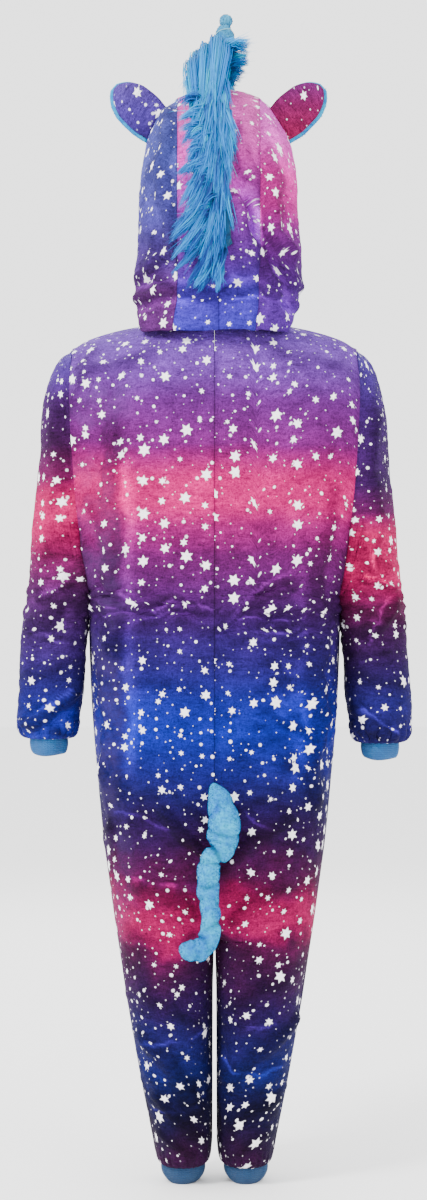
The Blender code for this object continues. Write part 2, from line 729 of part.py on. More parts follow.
def new_object(name, points, faces):
    mesh = bpy.data.meshes.new(name)
    mesh.from_pydata([tuple(float(v) for v in point) for point in points], [], faces)
    mesh.update()
    mesh.shade_smooth()
    part = bpy.data.objects.new(name, mesh)
    bpy.data.collections[COLLECTION].objects.link(part)
    return part


def finish(part, colour, roughness):
    """Gives a part its own material."""
    material = bpy.data.materials.new(part.name + "_finish")
    material.use_nodes = True
    shader = material.node_tree.nodes["Principled BSDF"]
    shader.inputs["Base Color"].default_value = (*colour, 1.0)
    shader.inputs["Roughness"].default_value = roughness
    shader.inputs["Metallic"].default_value = 0.0
    part.data.materials.append(material)
    return part


def surface_tree(grids):
    """A tree of the cloth's outer faces, to find where a piece meets them."""
    points = []
    faces = []
    for grid, closed in grids:
        start = len(points)
        columns = grid.shape[1]
        points += [Vector(point) for point in grid.reshape(-1, 3)]
        for face in grid_faces(grid, closed):
            a, b, c, d = (start + row * columns + column for row, column in face)
            faces += [(a, b, c), (a, c, d)]
    return BVHTree.FromPolygons(points, faces)


def landing(tree, point, direction):
    """Where a line from a point meets the cloth."""
    hit = tree.ray_cast(Vector(point), Vector(direction).normalized())[0]
    return None if hit is None else np.array(hit)


# Trims
def ear_walls(side, name, tree):
    """The printed ear and the plush lining in front of it, both with their feet on the hood."""
    lean = math.radians(EAR["lean"])
    axis = np.array([side * math.cos(lean), 0.0, math.sin(lean)])
    across = np.array([-side * math.sin(lean), 0.0, math.cos(lean)])
    root = np.array(EAR["root"]) * (side, 1, 1) + (HOOD_SHIFT, 0, 0)
    in_front = EAR["wall"] + 2 * SEAT_GAP
    walls = (("ear_" + name, 0.0, 0.0), ("ear_lining_" + name, in_front, EAR["lining_rim"]))
    for part, forward, rim_width in walls:
        grids = []
        for depth in (0.0, EAR["wall"]):
            rows = []
            for row in range(EAR_ROWS + 1):
                along = (row / EAR_ROWS) ** 0.9
                half = float(read(EAR_OUTLINE, "half_width", along)) + rim_width
                ring = []
                for column in range(EAR_COLUMNS + 1):
                    t = 2 * column / EAR_COLUMNS - 1
                    reach = (EAR["length"] + rim_width) * along
                    bend = (half * t / EAR["cup_width"]) ** 2 * (1 - 0.5 * reach / EAR["length"])
                    point = root + axis * reach + across * half * t
                    point[1] -= forward + depth + EAR["cup"] * bend
                    if row == 0:
                        point = landing(tree, point + axis * SEARCH_START, -axis)
                        point = point + axis * EAR["foot_gap"]
                    ring.append(point)
                rows.append(ring)
            grids.append(np.array(rows))
        outer, inner = even_rows(grids[0]), even_rows(grids[1])
        colour = CLOTH if rim_width == 0 else TURQUOISE
        finish(wall_mesh(part, outer, inner, False, side), colour, 0.85)


def even_rows(grid):
    """Moves the rows along with the foot, wherever it has landed, and leaves the tip in place."""
    straight = grid[0] - (2 * grid[1] - grid[2])
    share = np.linspace(1, 0, len(grid) - 1)[:, None, None]
    result = grid.copy()
    result[1:] += straight * share
    return result


def horn(tree):
    """Stuffed horn, wound with thread so that it bulges between the turns."""
    tip = np.array(HORN["tip"])
    foot = landing(tree, (HOOD_SHIFT + SEAM_MISS, HORN["foot_y"], tip[2]), (0.0, 0.0, -1.0))
    axis = tip - foot
    length = float(np.linalg.norm(axis))
    axis /= length
    right = np.cross(axis, (0.0, 1.0, 0.0))
    right /= np.linalg.norm(right)
    back = np.cross(axis, right)
    foot_radius = float(read(HORN_PROFILE, "radius", 0.0))
    rings = [(0.0, foot_radius / 2), (0.0, foot_radius)]
    for along in np.linspace(0.0, HORN["wound"], HORN["rings"])[1:]:
        rings.append((along * length, float(read(HORN_PROFILE, "radius", along))))
    for turn in (35, 65, 95, 125, 155):
        angle = math.radians(turn)
        rings.append((length - HORN_BALL * math.cos(angle), HORN_BALL * math.sin(angle)))
    points = []
    for i, (along, radius) in enumerate(rings):
        for k in range(HORN["sides"]):
            angle = 2 * math.pi * k / HORN["sides"]
            point = foot + axis * along + (right * math.cos(angle) + back * math.sin(angle)) * radius
            if i < 2:
                point = landing(tree, point + axis * SEARCH_START, -axis) + axis * 2 * SEAT_GAP
            points.append(point)
    first = len(points)
    points.append(landing(tree, foot + axis * SEARCH_START, -axis) + axis * 2 * SEAT_GAP)
    points.append(foot + axis * (length + HORN_BALL))
    faces = [face[::-1] for face in tube_faces(len(rings), HORN["sides"], first, first + 1)]
    return finish(new_object("horn", points, faces), TURQUOISE, 0.7)


def tube_faces(rings, sides, start_point, end_point):
    """Faces of a tube that closes on a point at each end."""
    faces = []
    for k in range(sides):
        after = (k + 1) % sides
        faces.append((start_point, k, after))
        last = (rings - 1) * sides
        faces.append((end_point, last + after, last + k))
        for i in range(rings - 1):
            a, b = i * sides + k, i * sides + after
            faces += [(a, a + sides, b + sides), (a, b + sides, b)]
    return faces


def tail(tree):
    """Stuffed plush tail, caught in the middle back seam by its narrow end."""
    path = []
    for x, z, off_back, radius in TAIL[1]:
        carrier = landing(tree, (SEAM_MISS, 1.0, max(z, TAIL_HANG)), (0.0, -1.0, 0.0))
        path.append((x, carrier[1] + off_back, z, radius))
    path = catmull_rom(np.array(path), TAIL_ROWS)
    points = []
    side = np.array([1.0, 0.0, 0.0])
    for i in range(len(path)):
        ahead = path[min(i + 1, len(path) - 1), :3] - path[max(i - 1, 0), :3]
        if i == 0:
            ahead = np.array([0.0, 1.0, 0.0])
        ahead /= np.linalg.norm(ahead)
        side = side - ahead * float(side @ ahead)
        side /= np.linalg.norm(side)
        other = np.cross(ahead, side)
        for k in range(TAIL_SIDES):
            angle = 2 * math.pi * k / TAIL_SIDES
            offset = side * math.cos(angle) + other * math.sin(angle)
            points.append(path[i, :3] + offset * path[i, 3])
    first = len(points)
    points.append(path[0, :3])
    end = path[-1, :3] - path[-2, :3]
    points.append(path[-1, :3] + end / np.linalg.norm(end) * path[-1, 3] * TAIL_TIP)
    faces = tube_faces(len(path), TAIL_SIDES, first, first + 1)
    faces = [face[::-1] for face in faces]
    return finish(new_object("tail", points, faces), PLUSH, 0.85)


def catmull_rom(points, count):
    """A smooth run of points through the given ones."""
    padded = np.concatenate([[2 * points[0] - points[1]], points, [2 * points[-1] - points[-2]]])
    result = []
    for step in np.linspace(0, len(points) - 1, count):
        i = min(int(step), len(points) - 2)
        t = step - i
        a, b, c, d = padded[i:i + 4]
        result.append(0.5 * (2 * b + (c - a) * t + (2 * a - 5 * b + 4 * c - d) * t * t
                             + (3 * b - a - 3 * c + d) * t ** 3))
    return np.array(result)


def mane(strips):
    """Long-pile strip on the hood's middle seam. Its top has the reach and the tufts of the fur."""
    left, right = strips
    rows = range(MANE_FIRST_ROW, MANE_LAST_ROW + 1)
    seam = {key: np.concatenate([left[key][rows, MANE_COLUMNS:0:-1],
                                 right[key][rows, :MANE_COLUMNS + 1]], axis=1)
            for key in ("grid", "normals")}
    foot = seam["grid"] + seam["normals"] * SEAT_GAP
    width = foot.shape[1]
    centre = seam["grid"][:, MANE_COLUMNS]
    lift = seam["normals"][:, MANE_COLUMNS]
    steps = (len(centre) - 1) * MANE_STEPS
    top = np.array([mane_ring(centre, lift, step, steps) for step in range(steps + 1)])
    points = list(foot.reshape(-1, 3)) + list(top.reshape(-1, 3))
    start = len(foot) * width
    faces = []
    for row in range(len(foot) - 1):
        for k in range(width - 1):
            a = row * width + k
            if k < MANE_COLUMNS:
                faces += [(a, a + 1, a + width), (a + 1, a + width + 1, a + width)]
            else:
                faces += [(a, a + width + 1, a + width), (a, a + 1, a + width + 1)]
    for step in range(steps):
        for k in range(MANE_SPREAD - 1):
            a = start + step * MANE_SPREAD + k
            faces += [(a, a + MANE_SPREAD, a + MANE_SPREAD + 1), (a, a + MANE_SPREAD + 1, a + 1)]
    for edge, flank, turned in ((0, 0, 1), (width - 1, MANE_SPREAD - 1, -1)):
        for row in range(len(foot) - 1):
            low = row * width + edge
            high = [start + (row * MANE_STEPS + i) * MANE_SPREAD + flank for i in range(MANE_STEPS + 1)]
            fan = [(low, b, a) for a, b in zip(high[:-1], high[1:])]
            fan.append((low, low + width, high[-1]))
            faces += fan if turned > 0 else [face[::-1] for face in fan]
    for row, step, turned in ((0, 0, 1), (len(foot) - 1, steps, -1)):
        loop = [row * width + k for k in range(width)]
        loop += [start + step * MANE_SPREAD + k for k in range(MANE_SPREAD - 1, -1, -1)]
        hub = len(points)
        points.append(np.mean([points[i] for i in loop], axis=0))
        fan = [(hub, b, a) for a, b in zip(loop, loop[1:] + loop[:1])]
        faces += fan if turned > 0 else [face[::-1] for face in fan]
    return finish(new_object("mane", points, faces), TURQUOISE, 0.9)


def mane_ring(centre, lift, step, steps):
    """Points over the pile at one step, from the wearer's left to their right."""
    row = min(step // MANE_STEPS, len(centre) - 2)
    t = step / MANE_STEPS - row
    middle = centre[row] * (1 - t) + centre[row + 1] * t
    up = unit(lift[row] * (1 - t) + lift[row + 1] * t)
    ahead = unit(centre[row + 1] - centre[row])
    along = step / steps
    height = float(read(MANE, "height", along))
    ring = []
    for k in range(MANE_SPREAD):
        share = k / (MANE_SPREAD - 1)
        angle = math.pi * (0.04 + 0.92 * share)
        reach = float(read(MANE, "left" if share < 0.5 else "right", along))
        tuft = 1 + TUFT_DEPTH * math.sin(step * 2.4 + k * 1.9) * math.sin(math.pi * share)
        aside = np.array([math.cos(angle) * reach, 0.0, 0.0])
        pile = up * math.sin(angle) * height
        droop = ahead * math.sin(angle) * float(read(MANE, "droop", along))
        ring.append(middle + (aside + pile) * tuft + droop + up * MANE_BACKING)
    return ring


def wrist_cuff(side, name):
    """Knit cuff at the end of a sleeve, its foot bowed down a little."""
    top = WRIST_CUFF["top"] - SLEEVE_DROP[name] - SEAM_GAP
    rows = []
    for down, narrower in CUFF_PROFILE[1]:
        ring = []
        for column in range(2 * ARMHOLE_ROWS):
            angle = math.pi * column / ARMHOLE_ROWS
            x = WRIST_CUFF["centre"] + (WRIST_CUFF["half_width"] - narrower) * math.cos(angle)
            y = (WRIST_CUFF["depth"] - narrower) * math.sin(angle)
            ring.append((side * x, y, top - WRIST_CUFF["height"] * down))
        rows.append(ring)
    return cuff_wall("wrist_cuff_" + name, np.array(rows), side)


def ankle_cuff(side, name):
    """Knit cuff at the end of a leg."""
    rows = []
    for down, narrower in CUFF_PROFILE[1]:
        ring = []
        for column in range(2 * PANEL_COLUMNS):
            angle = math.pi * column / PANEL_COLUMNS
            depth = ANKLE_CUFF["back"] if math.sin(angle) > 0 else ANKLE_CUFF["front"]
            x = ANKLE_CUFF["centre"] + (ANKLE_CUFF["half_width"] - narrower) * math.cos(angle)
            y = (depth - narrower) * math.sin(angle)
            ring.append((side * x, y, ANKLE_CUFF["top"] - ANKLE_CUFF["height"] * down))
        rows.append(ring)
    return cuff_wall("ankle_cuff_" + name, np.array(rows), side)


def cuff_wall(name, grid, side):
    piece = cloth_piece(name, "cuff", grid, -side, closed=True)
    shared_normals([piece], across_groups=False)
    return finish(cloth_wall(piece), TURQUOISE, 0.8)


def placket(fronts):
    """The band of the front opening, over the middle of the two fronts."""
    left, right = fronts
    rows = [r for r in range(len(left["grid"])) if left["grid"][r, 0, 2] >= PLACKET["bottom"]]
    grids = []
    for key in ("grid", "normals"):
        a = left[key][rows][:, PLACKET_COLUMNS:0:-1]
        b = right[key][rows][:, 0:PLACKET_COLUMNS + 1]
        grids.append(np.concatenate([a, b], axis=1))
    base, normals = grids
    inner = pull_in(base, normals, False, PLACKET["inset"]) + normals * SEAT_GAP
    outer = inner + normals * PLACKET["thickness"]
    return finish(wall_mesh("front_placket", outer, inner, False, 1), CLOTH, 0.85)


def buttons(band):
    """Round buttons down the band, each flat against the part of it that stands out most."""
    tree = BVHTree.FromPolygons([v.co for v in band.data.vertices],
                                [tuple(p.vertices) for p in band.data.polygons])
    heights = np.linspace(BUTTON["first"], BUTTON["last"], BUTTON["count"])
    reach = BUTTON["radius"]
    for number, height in enumerate(heights, start=1):
        spots = [landing(tree, (dx, -1.0, height + dz), (0, 1, 0))
                 for dx in (-reach, 0, reach) for dz in (reach, 0, -reach)]
        tilt = math.atan2(float(spots[3][1] - spots[5][1]), 2 * reach)
        normal = np.array([0.0, -math.cos(tilt), math.sin(tilt)])
        middle = np.array(spots[4])
        stand = max(float((place - middle) @ normal) for place in spots)
        middle += normal * (stand + SEAT_GAP + BUTTON["thickness"] / 2)
        bpy.ops.mesh.primitive_cylinder_add(
            vertices=BUTTON["sides"], radius=BUTTON["radius"], depth=BUTTON["thickness"],
            location=middle, rotation=(math.pi / 2 - tilt, 0, 0))
        button = bpy.context.object
        button.name = button.data.name = "button_%d" % number
        for collection in button.users_collection:
            collection.objects.unlink(button)
        bpy.data.collections[COLLECTION].objects.link(button)
        finish(button, TURQUOISE, 0.4)


def build():
    """Builds every piece of the garment in its own collection."""
    for part in list(bpy.data.objects):
        bpy.data.objects.remove(part, do_unlink=True)
    new_collection(COLLECTION)
    cloth = []
    for side, name in ((1, "left"), (-1, "right")):
        cloth.append(cloth_piece("back_" + name, "body", panel_grid(side, 1), side))
        cloth.append(cloth_piece("front_" + name, "body", panel_grid(side, -1), -side))
        sleeve = sleeve_grid(side, name)
        cloth.append(cloth_piece("sleeve_" + name, "sleeve", sleeve, -side, closed=True))
        hood = hood_grid(side)
        cloth.append(cloth_piece("hood_strip_" + name, "hood", hood[:, :STRIP_COLUMNS + 1], side))
        cloth.append(cloth_piece("hood_side_" + name, "hood", hood[:, STRIP_COLUMNS:], side))
    crease_cloth(cloth)
    named = {piece["name"]: piece for piece in cloth}
    for piece in cloth:
        wall = HOOD_WALL if piece["group"] == "hood" else WALL
        finish(cloth_wall(piece, wall), CLOTH, 0.85)
    tree = surface_tree([(piece["grid"], piece["closed"]) for piece in cloth])
    for side, name in ((1, "left"), (-1, "right")):
        ear_walls(side, name, tree)
        wrist_cuff(side, name)
        ankle_cuff(side, name)
    horn(tree)
    mane((named["hood_strip_left"], named["hood_strip_right"]))
    tail(tree)
    buttons(placket((named["front_left"], named["front_right"])))


build()
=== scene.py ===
import bpy
import math
import numpy as np
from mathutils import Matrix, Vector, noise
from mathutils.bvhtree import BVHTree


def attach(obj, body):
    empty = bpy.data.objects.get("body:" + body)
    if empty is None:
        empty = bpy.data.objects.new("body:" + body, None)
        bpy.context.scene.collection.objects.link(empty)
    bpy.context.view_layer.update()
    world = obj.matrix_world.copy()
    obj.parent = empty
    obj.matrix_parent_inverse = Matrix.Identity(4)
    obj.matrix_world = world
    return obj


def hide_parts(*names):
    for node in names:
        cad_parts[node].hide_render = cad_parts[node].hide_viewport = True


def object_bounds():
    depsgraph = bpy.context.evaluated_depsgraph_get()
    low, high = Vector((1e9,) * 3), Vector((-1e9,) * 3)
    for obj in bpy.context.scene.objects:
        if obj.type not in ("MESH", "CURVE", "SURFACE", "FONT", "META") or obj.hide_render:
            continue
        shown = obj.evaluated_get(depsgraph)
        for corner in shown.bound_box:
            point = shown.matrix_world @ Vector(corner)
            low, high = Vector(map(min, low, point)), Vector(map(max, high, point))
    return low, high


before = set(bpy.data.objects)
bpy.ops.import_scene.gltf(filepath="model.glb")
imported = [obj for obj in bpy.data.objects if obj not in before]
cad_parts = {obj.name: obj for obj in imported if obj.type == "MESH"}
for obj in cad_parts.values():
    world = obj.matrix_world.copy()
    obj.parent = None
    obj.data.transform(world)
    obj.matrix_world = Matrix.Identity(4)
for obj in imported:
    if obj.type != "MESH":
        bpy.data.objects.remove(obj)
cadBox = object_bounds()
print("frame loaded")

# sizes in metres, the same as the frame's
fabricWall = 0.0022
underarm = -0.385
crotch = -0.880
crotchDepth = 0.100
legEnd = -1.2155
neckHalf = 0.085
neckBack = 0.075
neckFront = 0.085
shoulderEnd = 0.206
capBack = 0.090
capFront = 0.130
legSquareness = 2.2
panelColumns = 10          # the frame's own columns; finer points lie between them
armholeRows = 10
sleeveRows = 13
stripHalf = 0.058
stripColumns = 4
sideColumns = 6
hoodFrontAngle = 94.0
hoodCorner = (-0.080, -0.004)
hoodShift = -0.006
hoodLiftAngle = 75.0
hoodLift = 0.008
neckOverhang = 0.010

body = (
    ("height", "halfWidth", "back", "front", "squareness"),
    ((0.040, 0.262, 0.100, 0.104, 2.2), (-0.030, 0.252, 0.112, 0.113, 2.3),
     (-0.100, 0.244, 0.122, 0.122, 2.4), (-0.200, 0.235, 0.127, 0.129, 2.5),
     (-0.300, 0.2170, 0.125, 0.130, 2.5), (-0.350, 0.2010, 0.121, 0.128, 2.5),
     (-0.372, 0.1900, 0.120, 0.127, 2.4), (underarm, 0.1815, 0.119, 0.126, 2.4),
     (-0.424, 0.1808, 0.117, 0.124, 2.4), (-0.508, 0.178, 0.121, 0.123, 2.4),
     (-0.566, 0.1747, 0.129, 0.123, 2.4), (-0.650, 0.1675, 0.136, 0.120, 2.4),
     (-0.740, 0.1588, 0.132, 0.113, 2.3), (-0.798, 0.151, 0.122, 0.106, 2.3),
     (-0.856, 0.143, 0.110, 0.098, 2.2), (-0.914, 0.134, 0.100, 0.090, 2.2),
     (-0.972, 0.1254, 0.092, 0.085, 2.2), (-1.030, 0.1153, 0.086, 0.080, 2.2),
     (-1.088, 0.105, 0.078, 0.073, 2.2), (-1.146, 0.0935, 0.070, 0.065, 2.2),
     (-1.175, 0.0877, 0.065, 0.060, 2.2), (-1.200, 0.0830, 0.060, 0.054, 2.2),
     (-1.211, 0.0795, 0.053, 0.046, 2.2), (legEnd, 0.0740, 0.0425, 0.0355, 2.1)),
)
inseam = (
    ("height", "inner"),
    ((crotch, 0.0040), (-0.914, 0.0050), (-0.972, 0.0062), (-1.088, 0.0065), (-1.175, 0.0068),
     (-1.200, 0.0088), (-1.211, 0.0120), (legEnd, 0.0180)),
)
armhole = (
    ("height", "reach"),
    ((-0.028, shoulderEnd), (-0.100, 0.2080), (-0.200, 0.2030), (-0.310, 0.1925), (-0.350, 0.1860),
    (underarm, 0.1815)),
)
shoulder = (
    ("reach", "height"),
    ((0.000, 0.036), (0.040, 0.031), (neckHalf, 0.014), (0.110, 0.006), (0.139, 0.000), (0.185, -0.0145),
     (shoulderEnd, -0.028)),
)
sleeve = (
    ("row", "outerX", "outerZ", "innerX", "innerZ", "depth"),
    ((0, 0.2060, -0.0280, 0.1815, -0.3850, 0.080), (1, 0.2270, -0.0450, 0.1830, -0.3890, 0.083),
     (2, 0.2405, -0.0760, 0.1837, -0.3930, 0.082), (3, 0.2480, -0.1120, 0.1842, -0.3975, 0.079),
     (4, 0.2540, -0.1760, 0.1848, -0.4040, 0.073), (5, 0.2605, -0.2480, 0.1856, -0.4130, 0.067),
     (6, 0.2668, -0.3200, 0.1866, -0.4260, 0.062), (7, 0.2745, -0.3900, 0.1880, -0.4480, 0.058),
     (8, 0.2806, -0.4500, 0.1900, -0.4800, 0.055), (9, 0.2840, -0.5050, 0.1935, -0.5180, 0.052),
     (10, 0.2860, -0.5500, 0.1985, -0.5560, 0.050), (11, 0.2850, -0.5770, 0.2020, -0.5790, 0.048),
     (12, 0.2790, -0.5895, 0.2075, -0.5900, 0.044), (13, 0.2690, -0.5925, 0.2165, -0.5925, 0.037)),
)
hood = (
    ("angle", "radius", "halfWidth", "squareness"),
    ((0, 0.2080, 0.1290, 3.0), (8, 0.2160, 0.1335, 3.2), (16, 0.2290, 0.1360, 3.4),
     (24, 0.2480, 0.1375, 3.6), (38, 0.2880, 0.1320, 4.0), (51, 0.3330, 0.1240, 4.8),
     (64, 0.3620, 0.1210, 5.6), (78, 0.3690, 0.1190, 5.6), (88, 0.3570, 0.1120, 4.8),
     (hoodFrontAngle, 0.3430, 0.1050, 4.2)),
)


def readCurve(table, column, at):
    names, rows = table
    rows = np.array(sorted(rows), float)
    x = rows[:, 0]
    y = rows[:, names.index(column)]
    step = np.diff(x)
    rise = np.diff(y) / step
    slope = np.concatenate([rise[:1], np.zeros(len(x) - 2), rise[-1:]])
    product = rise[:-1] * rise[1:]
    total = np.where(product <= 0, 1.0, rise[:-1] + rise[1:])
    slope[1:-1] = np.where(product <= 0, 0.0, 2 * product / total)
    at = np.clip(np.asarray(at, float), x[0], x[-1])
    i = np.clip(np.searchsorted(x, at) - 1, 0, len(x) - 2)
    t = (at - x[i]) / step[i]
    start = (1 + 2 * t) * (1 - t) ** 2 * y[i] + t * (1 - t) ** 2 * step[i] * slope[i]
    return start + t * t * (3 - 2 * t) * y[i + 1] - t * t * (1 - t) * step[i] * slope[i + 1]


def unitRows(vectors, least=0.0):
    return vectors / (np.linalg.norm(vectors, axis=-1, keepdims=True) + least)


def smoothStep(t):
    t = np.clip(t, 0.0, 1.0)
    return t * t * (3 - 2 * t)


def columnShare(column):
    value = np.cos(np.pi * np.asarray(column, float) / panelColumns)
    return (1 - np.copysign(np.abs(value) ** (2 / legSquareness), value)) / 2


def bodyDepth(x, z, face):
    squareness = readCurve(body, "squareness", z)
    share = np.abs(x) / readCurve(body, "halfWidth", z)
    across = np.clip(1 - share ** squareness, 0, 1) ** (1 / squareness)
    cap = capBack if face > 0 else capFront
    below = np.clip((readCurve(shoulder, "height", np.abs(x)) - z) / cap, 0.0, 1.0)
    return readCurve(body, "back" if face > 0 else "front", z) * across * np.sqrt(1 - (1 - below) ** 2)


def topPoint(share, face):
    share = np.asarray(share, float)
    x = np.where(share < 0.5, neckHalf * 2 * share, neckHalf + (shoulderEnd - neckHalf) * (2 * share - 1))
    height = readCurve(shoulder, "height", x)
    neck = (neckBack if face > 0 else neckFront) * np.sqrt(np.clip(1 - (x / neckHalf) ** 2, 0, 1))
    cap = capBack if face > 0 else capFront
    squareness = readCurve(body, "squareness", height)
    full = readCurve(body, "back" if face > 0 else "front", height)
    full = full * (1 - (x / readCurve(body, "halfWidth", height)) ** squareness) ** (1 / squareness)
    dip = cap * (1 - np.sqrt(np.clip(1 - (neck / full) ** 2, 0, 1)))
    return x, np.where(x >= neckHalf, height, height - dip)


def upperPoints(column, row, face):
    share = columnShare(column)
    rise = (1 + np.cos(np.pi * np.asarray(row, float) / armholeRows)) / 2
    topX, topZ = topPoint(share, face)
    z = underarm + (topZ - underarm) * rise
    edgeZ = underarm + (topPoint(1.0, face)[1] - underarm) * rise
    x = readCurve(armhole, "reach", edgeZ) * ((1 - rise) * share + rise * topX / shoulderEnd)
    y = face * bodyDepth(x, z, face)
    y = np.where((np.asarray(row) <= 0) & (np.asarray(column) >= panelColumns / 2), 0.0, y)
    return np.stack(np.broadcast_arrays(x, y, z), axis=-1)


def lowerPoints(column, z, face):
    share = columnShare(column)
    t = np.clip((crotch + crotchDepth - z) / crotchDepth, 0.0, 1.0)
    atSeam = 1 - np.sqrt(1 - t * t)
    # away from the crotch seam the two shapes blend slowly
    wide = smoothStep((crotch + 0.13 - z) / 0.21)
    blend = atSeam + (wide - atSeam) * smoothStep(share / 0.5)
    inner = atSeam * readCurve(inseam, "inner", z)
    squareness = readCurve(body, "squareness", z)
    depth = readCurve(body, "back" if face > 0 else "front", z)
    bodyY = depth * np.clip(1 - share ** squareness, 0, 1) ** (1 / squareness)
    legY = depth * np.clip(np.sin(np.pi * column / panelColumns), 0, 1) ** (2 / legSquareness)
    x = inner + (readCurve(body, "halfWidth", z) - inner) * share
    return np.stack(np.broadcast_arrays(x, face * ((1 - blend) * bodyY + blend * legY), z), axis=-1)


def panelGrid(side, face, columns, upperRows, torsoRows, crotchRows, legRows, hemRows):
    column = np.linspace(0, panelColumns, columns + 1)
    rows = [upperPoints(column, row, face) for row in np.linspace(0, armholeRows, upperRows + 1)]
    crotchTop = crotch + crotchDepth
    quarter = np.linspace(0, math.pi / 2, crotchRows + 1)[1:]
    hemTop = legEnd + 0.0155
    heights = np.concatenate([
        np.linspace(underarm, crotchTop, torsoRows + 1)[1:], crotchTop - crotchDepth * np.sin(quarter),
        np.linspace(crotch, hemTop, legRows + 1)[1:], hemTop - 0.0155 * np.linspace(0, 1, hemRows + 1)[1:]])
    rows += [lowerPoints(column, float(height), face) for height in heights]
    grid = np.array(rows)
    gather = 0.0017 * smoothStep((legEnd + 0.030 - grid[:, :, 2]) / 0.022)
    ripple = np.cos(column * math.pi * 2.4 + 0.8 * np.sin(column * 1.7))
    gather *= ripple * np.sin(np.pi * column / panelColumns)
    leg = np.stack([grid[:, :, 0] - 0.046, grid[:, :, 1], np.zeros(grid.shape[:2])], axis=-1)
    grid += gather[:, :, None] * unitRows(leg, 1e-6)
    grid[:, :, 0] *= side
    return grid


def sleeveRing(row, turn):
    outer, inner = (np.array([readCurve(sleeve, edge + "X", row), 0.0, readCurve(sleeve, edge + "Z", row)])
                    for edge in ("outer", "inner"))
    angle = 2 * np.pi * turn[:, None]
    ring = (outer + inner) / 2 + (outer - inner) / 2 * np.cos(angle)
    ring[:, 1] = float(readCurve(sleeve, "depth", row)) * np.sin(angle[:, 0])
    return ring


def sleeveGrid(side, drop, columns, rows):
    turn = np.linspace(0, 1, columns + 1)[:-1]
    around = turn * 2 * armholeRows
    back = upperPoints(panelColumns, np.minimum(around, armholeRows), 1)
    front = upperPoints(panelColumns, np.clip(2 * armholeRows - around, 0, armholeRows), -1)
    hole = np.where((around <= armholeRows)[:, None], back, front)
    grid = []
    nearShoulder = np.linspace(0, 2, rows // 6, endpoint=False)
    for row in np.concatenate([nearShoulder, np.linspace(2, sleeveRows, rows)]):
        ring = sleeveRing(row, turn) + (hole - sleeveRing(0, turn)) * (1 - smoothStep(row / 5.0))
        ring[:, 2] -= drop * smoothStep((row - 2) / 8.0)
        grid.append(ring)
    grid = np.array(grid)
    fromEnd = grid[:, :, 2] - grid[-1, :, 2].mean()
    ripple = np.cos(turn * 2 * math.pi * 17 + 1.2 * np.sin(turn * 20))
    gather = 0.0020 * smoothStep((0.040 - fromEnd) / 0.030) * ripple
    out = grid - grid.mean(axis=1, keepdims=True)
    out[:, :, 2] = 0
    grid += gather[:, :, None] * unitRows(out, 1e-6)
    grid[:, :, 0] *= side
    return grid


def hoodPoints(angle, column):
    radius, halfWidth, squareness = (float(readCurve(hood, name, angle)) for name in hood[0][1:])
    roundness = 2.3
    share = columnShare(column) / columnShare(stripColumns)
    stripX = stripHalf * np.clip(share, 0, 1)
    stripReach = (1 - (stripX / halfWidth) ** roundness) ** (1 / squareness)
    seam = (1 - (stripHalf / halfWidth) ** roundness) ** (1 / squareness)
    t = np.clip((sideColumns + stripColumns - column) / sideColumns, 0, 1)
    reach = 0.10 + (seam - 0.10) * (1 - (1 - t) ** 1.3)
    x = halfWidth * np.clip(1 - reach ** squareness, 0, 1) ** (1 / roundness)
    x = x * (1 - 1.2 * (1 - reach) ** 3 * (1 - t) ** 0.3)
    onStrip = column <= stripColumns
    x = np.where(onStrip, stripX, x)
    reach = np.where(onStrip, stripReach, reach)
    radians = math.radians(angle)
    return np.stack([x, hoodCorner[0] + reach * radius * math.cos(radians),
                     hoodCorner[1] + reach * radius * math.sin(radians)], axis=-1)


def necklineUnder(points):
    column = np.linspace(0, panelColumns / 2, 24)
    line = np.concatenate([upperPoints(column, 0, 1), upperPoints(column[-2::-1], 0, -1)])
    turns = np.arctan2(line[:, 0], line[:, 1])
    turn = np.arctan2(np.maximum(points[:, 0], 0.0), points[:, 1])
    return np.stack([np.interp(turn, turns, line[:, axis]) for axis in range(3)], axis=-1)


def bodyTop(x, y):
    height = readCurve(shoulder, "height", np.abs(x))
    cap = np.where(y > 0, capBack, capFront)
    low = height - cap / 2
    full = np.where(y > 0, readCurve(body, "back", low), readCurve(body, "front", low))
    full = full * (1 - (np.abs(x) / readCurve(body, "halfWidth", height)) ** 2.3) ** (1 / 2.3)
    return height - cap * (1 - np.sqrt(1 - np.minimum(1.0, np.abs(y) / full) ** 2))


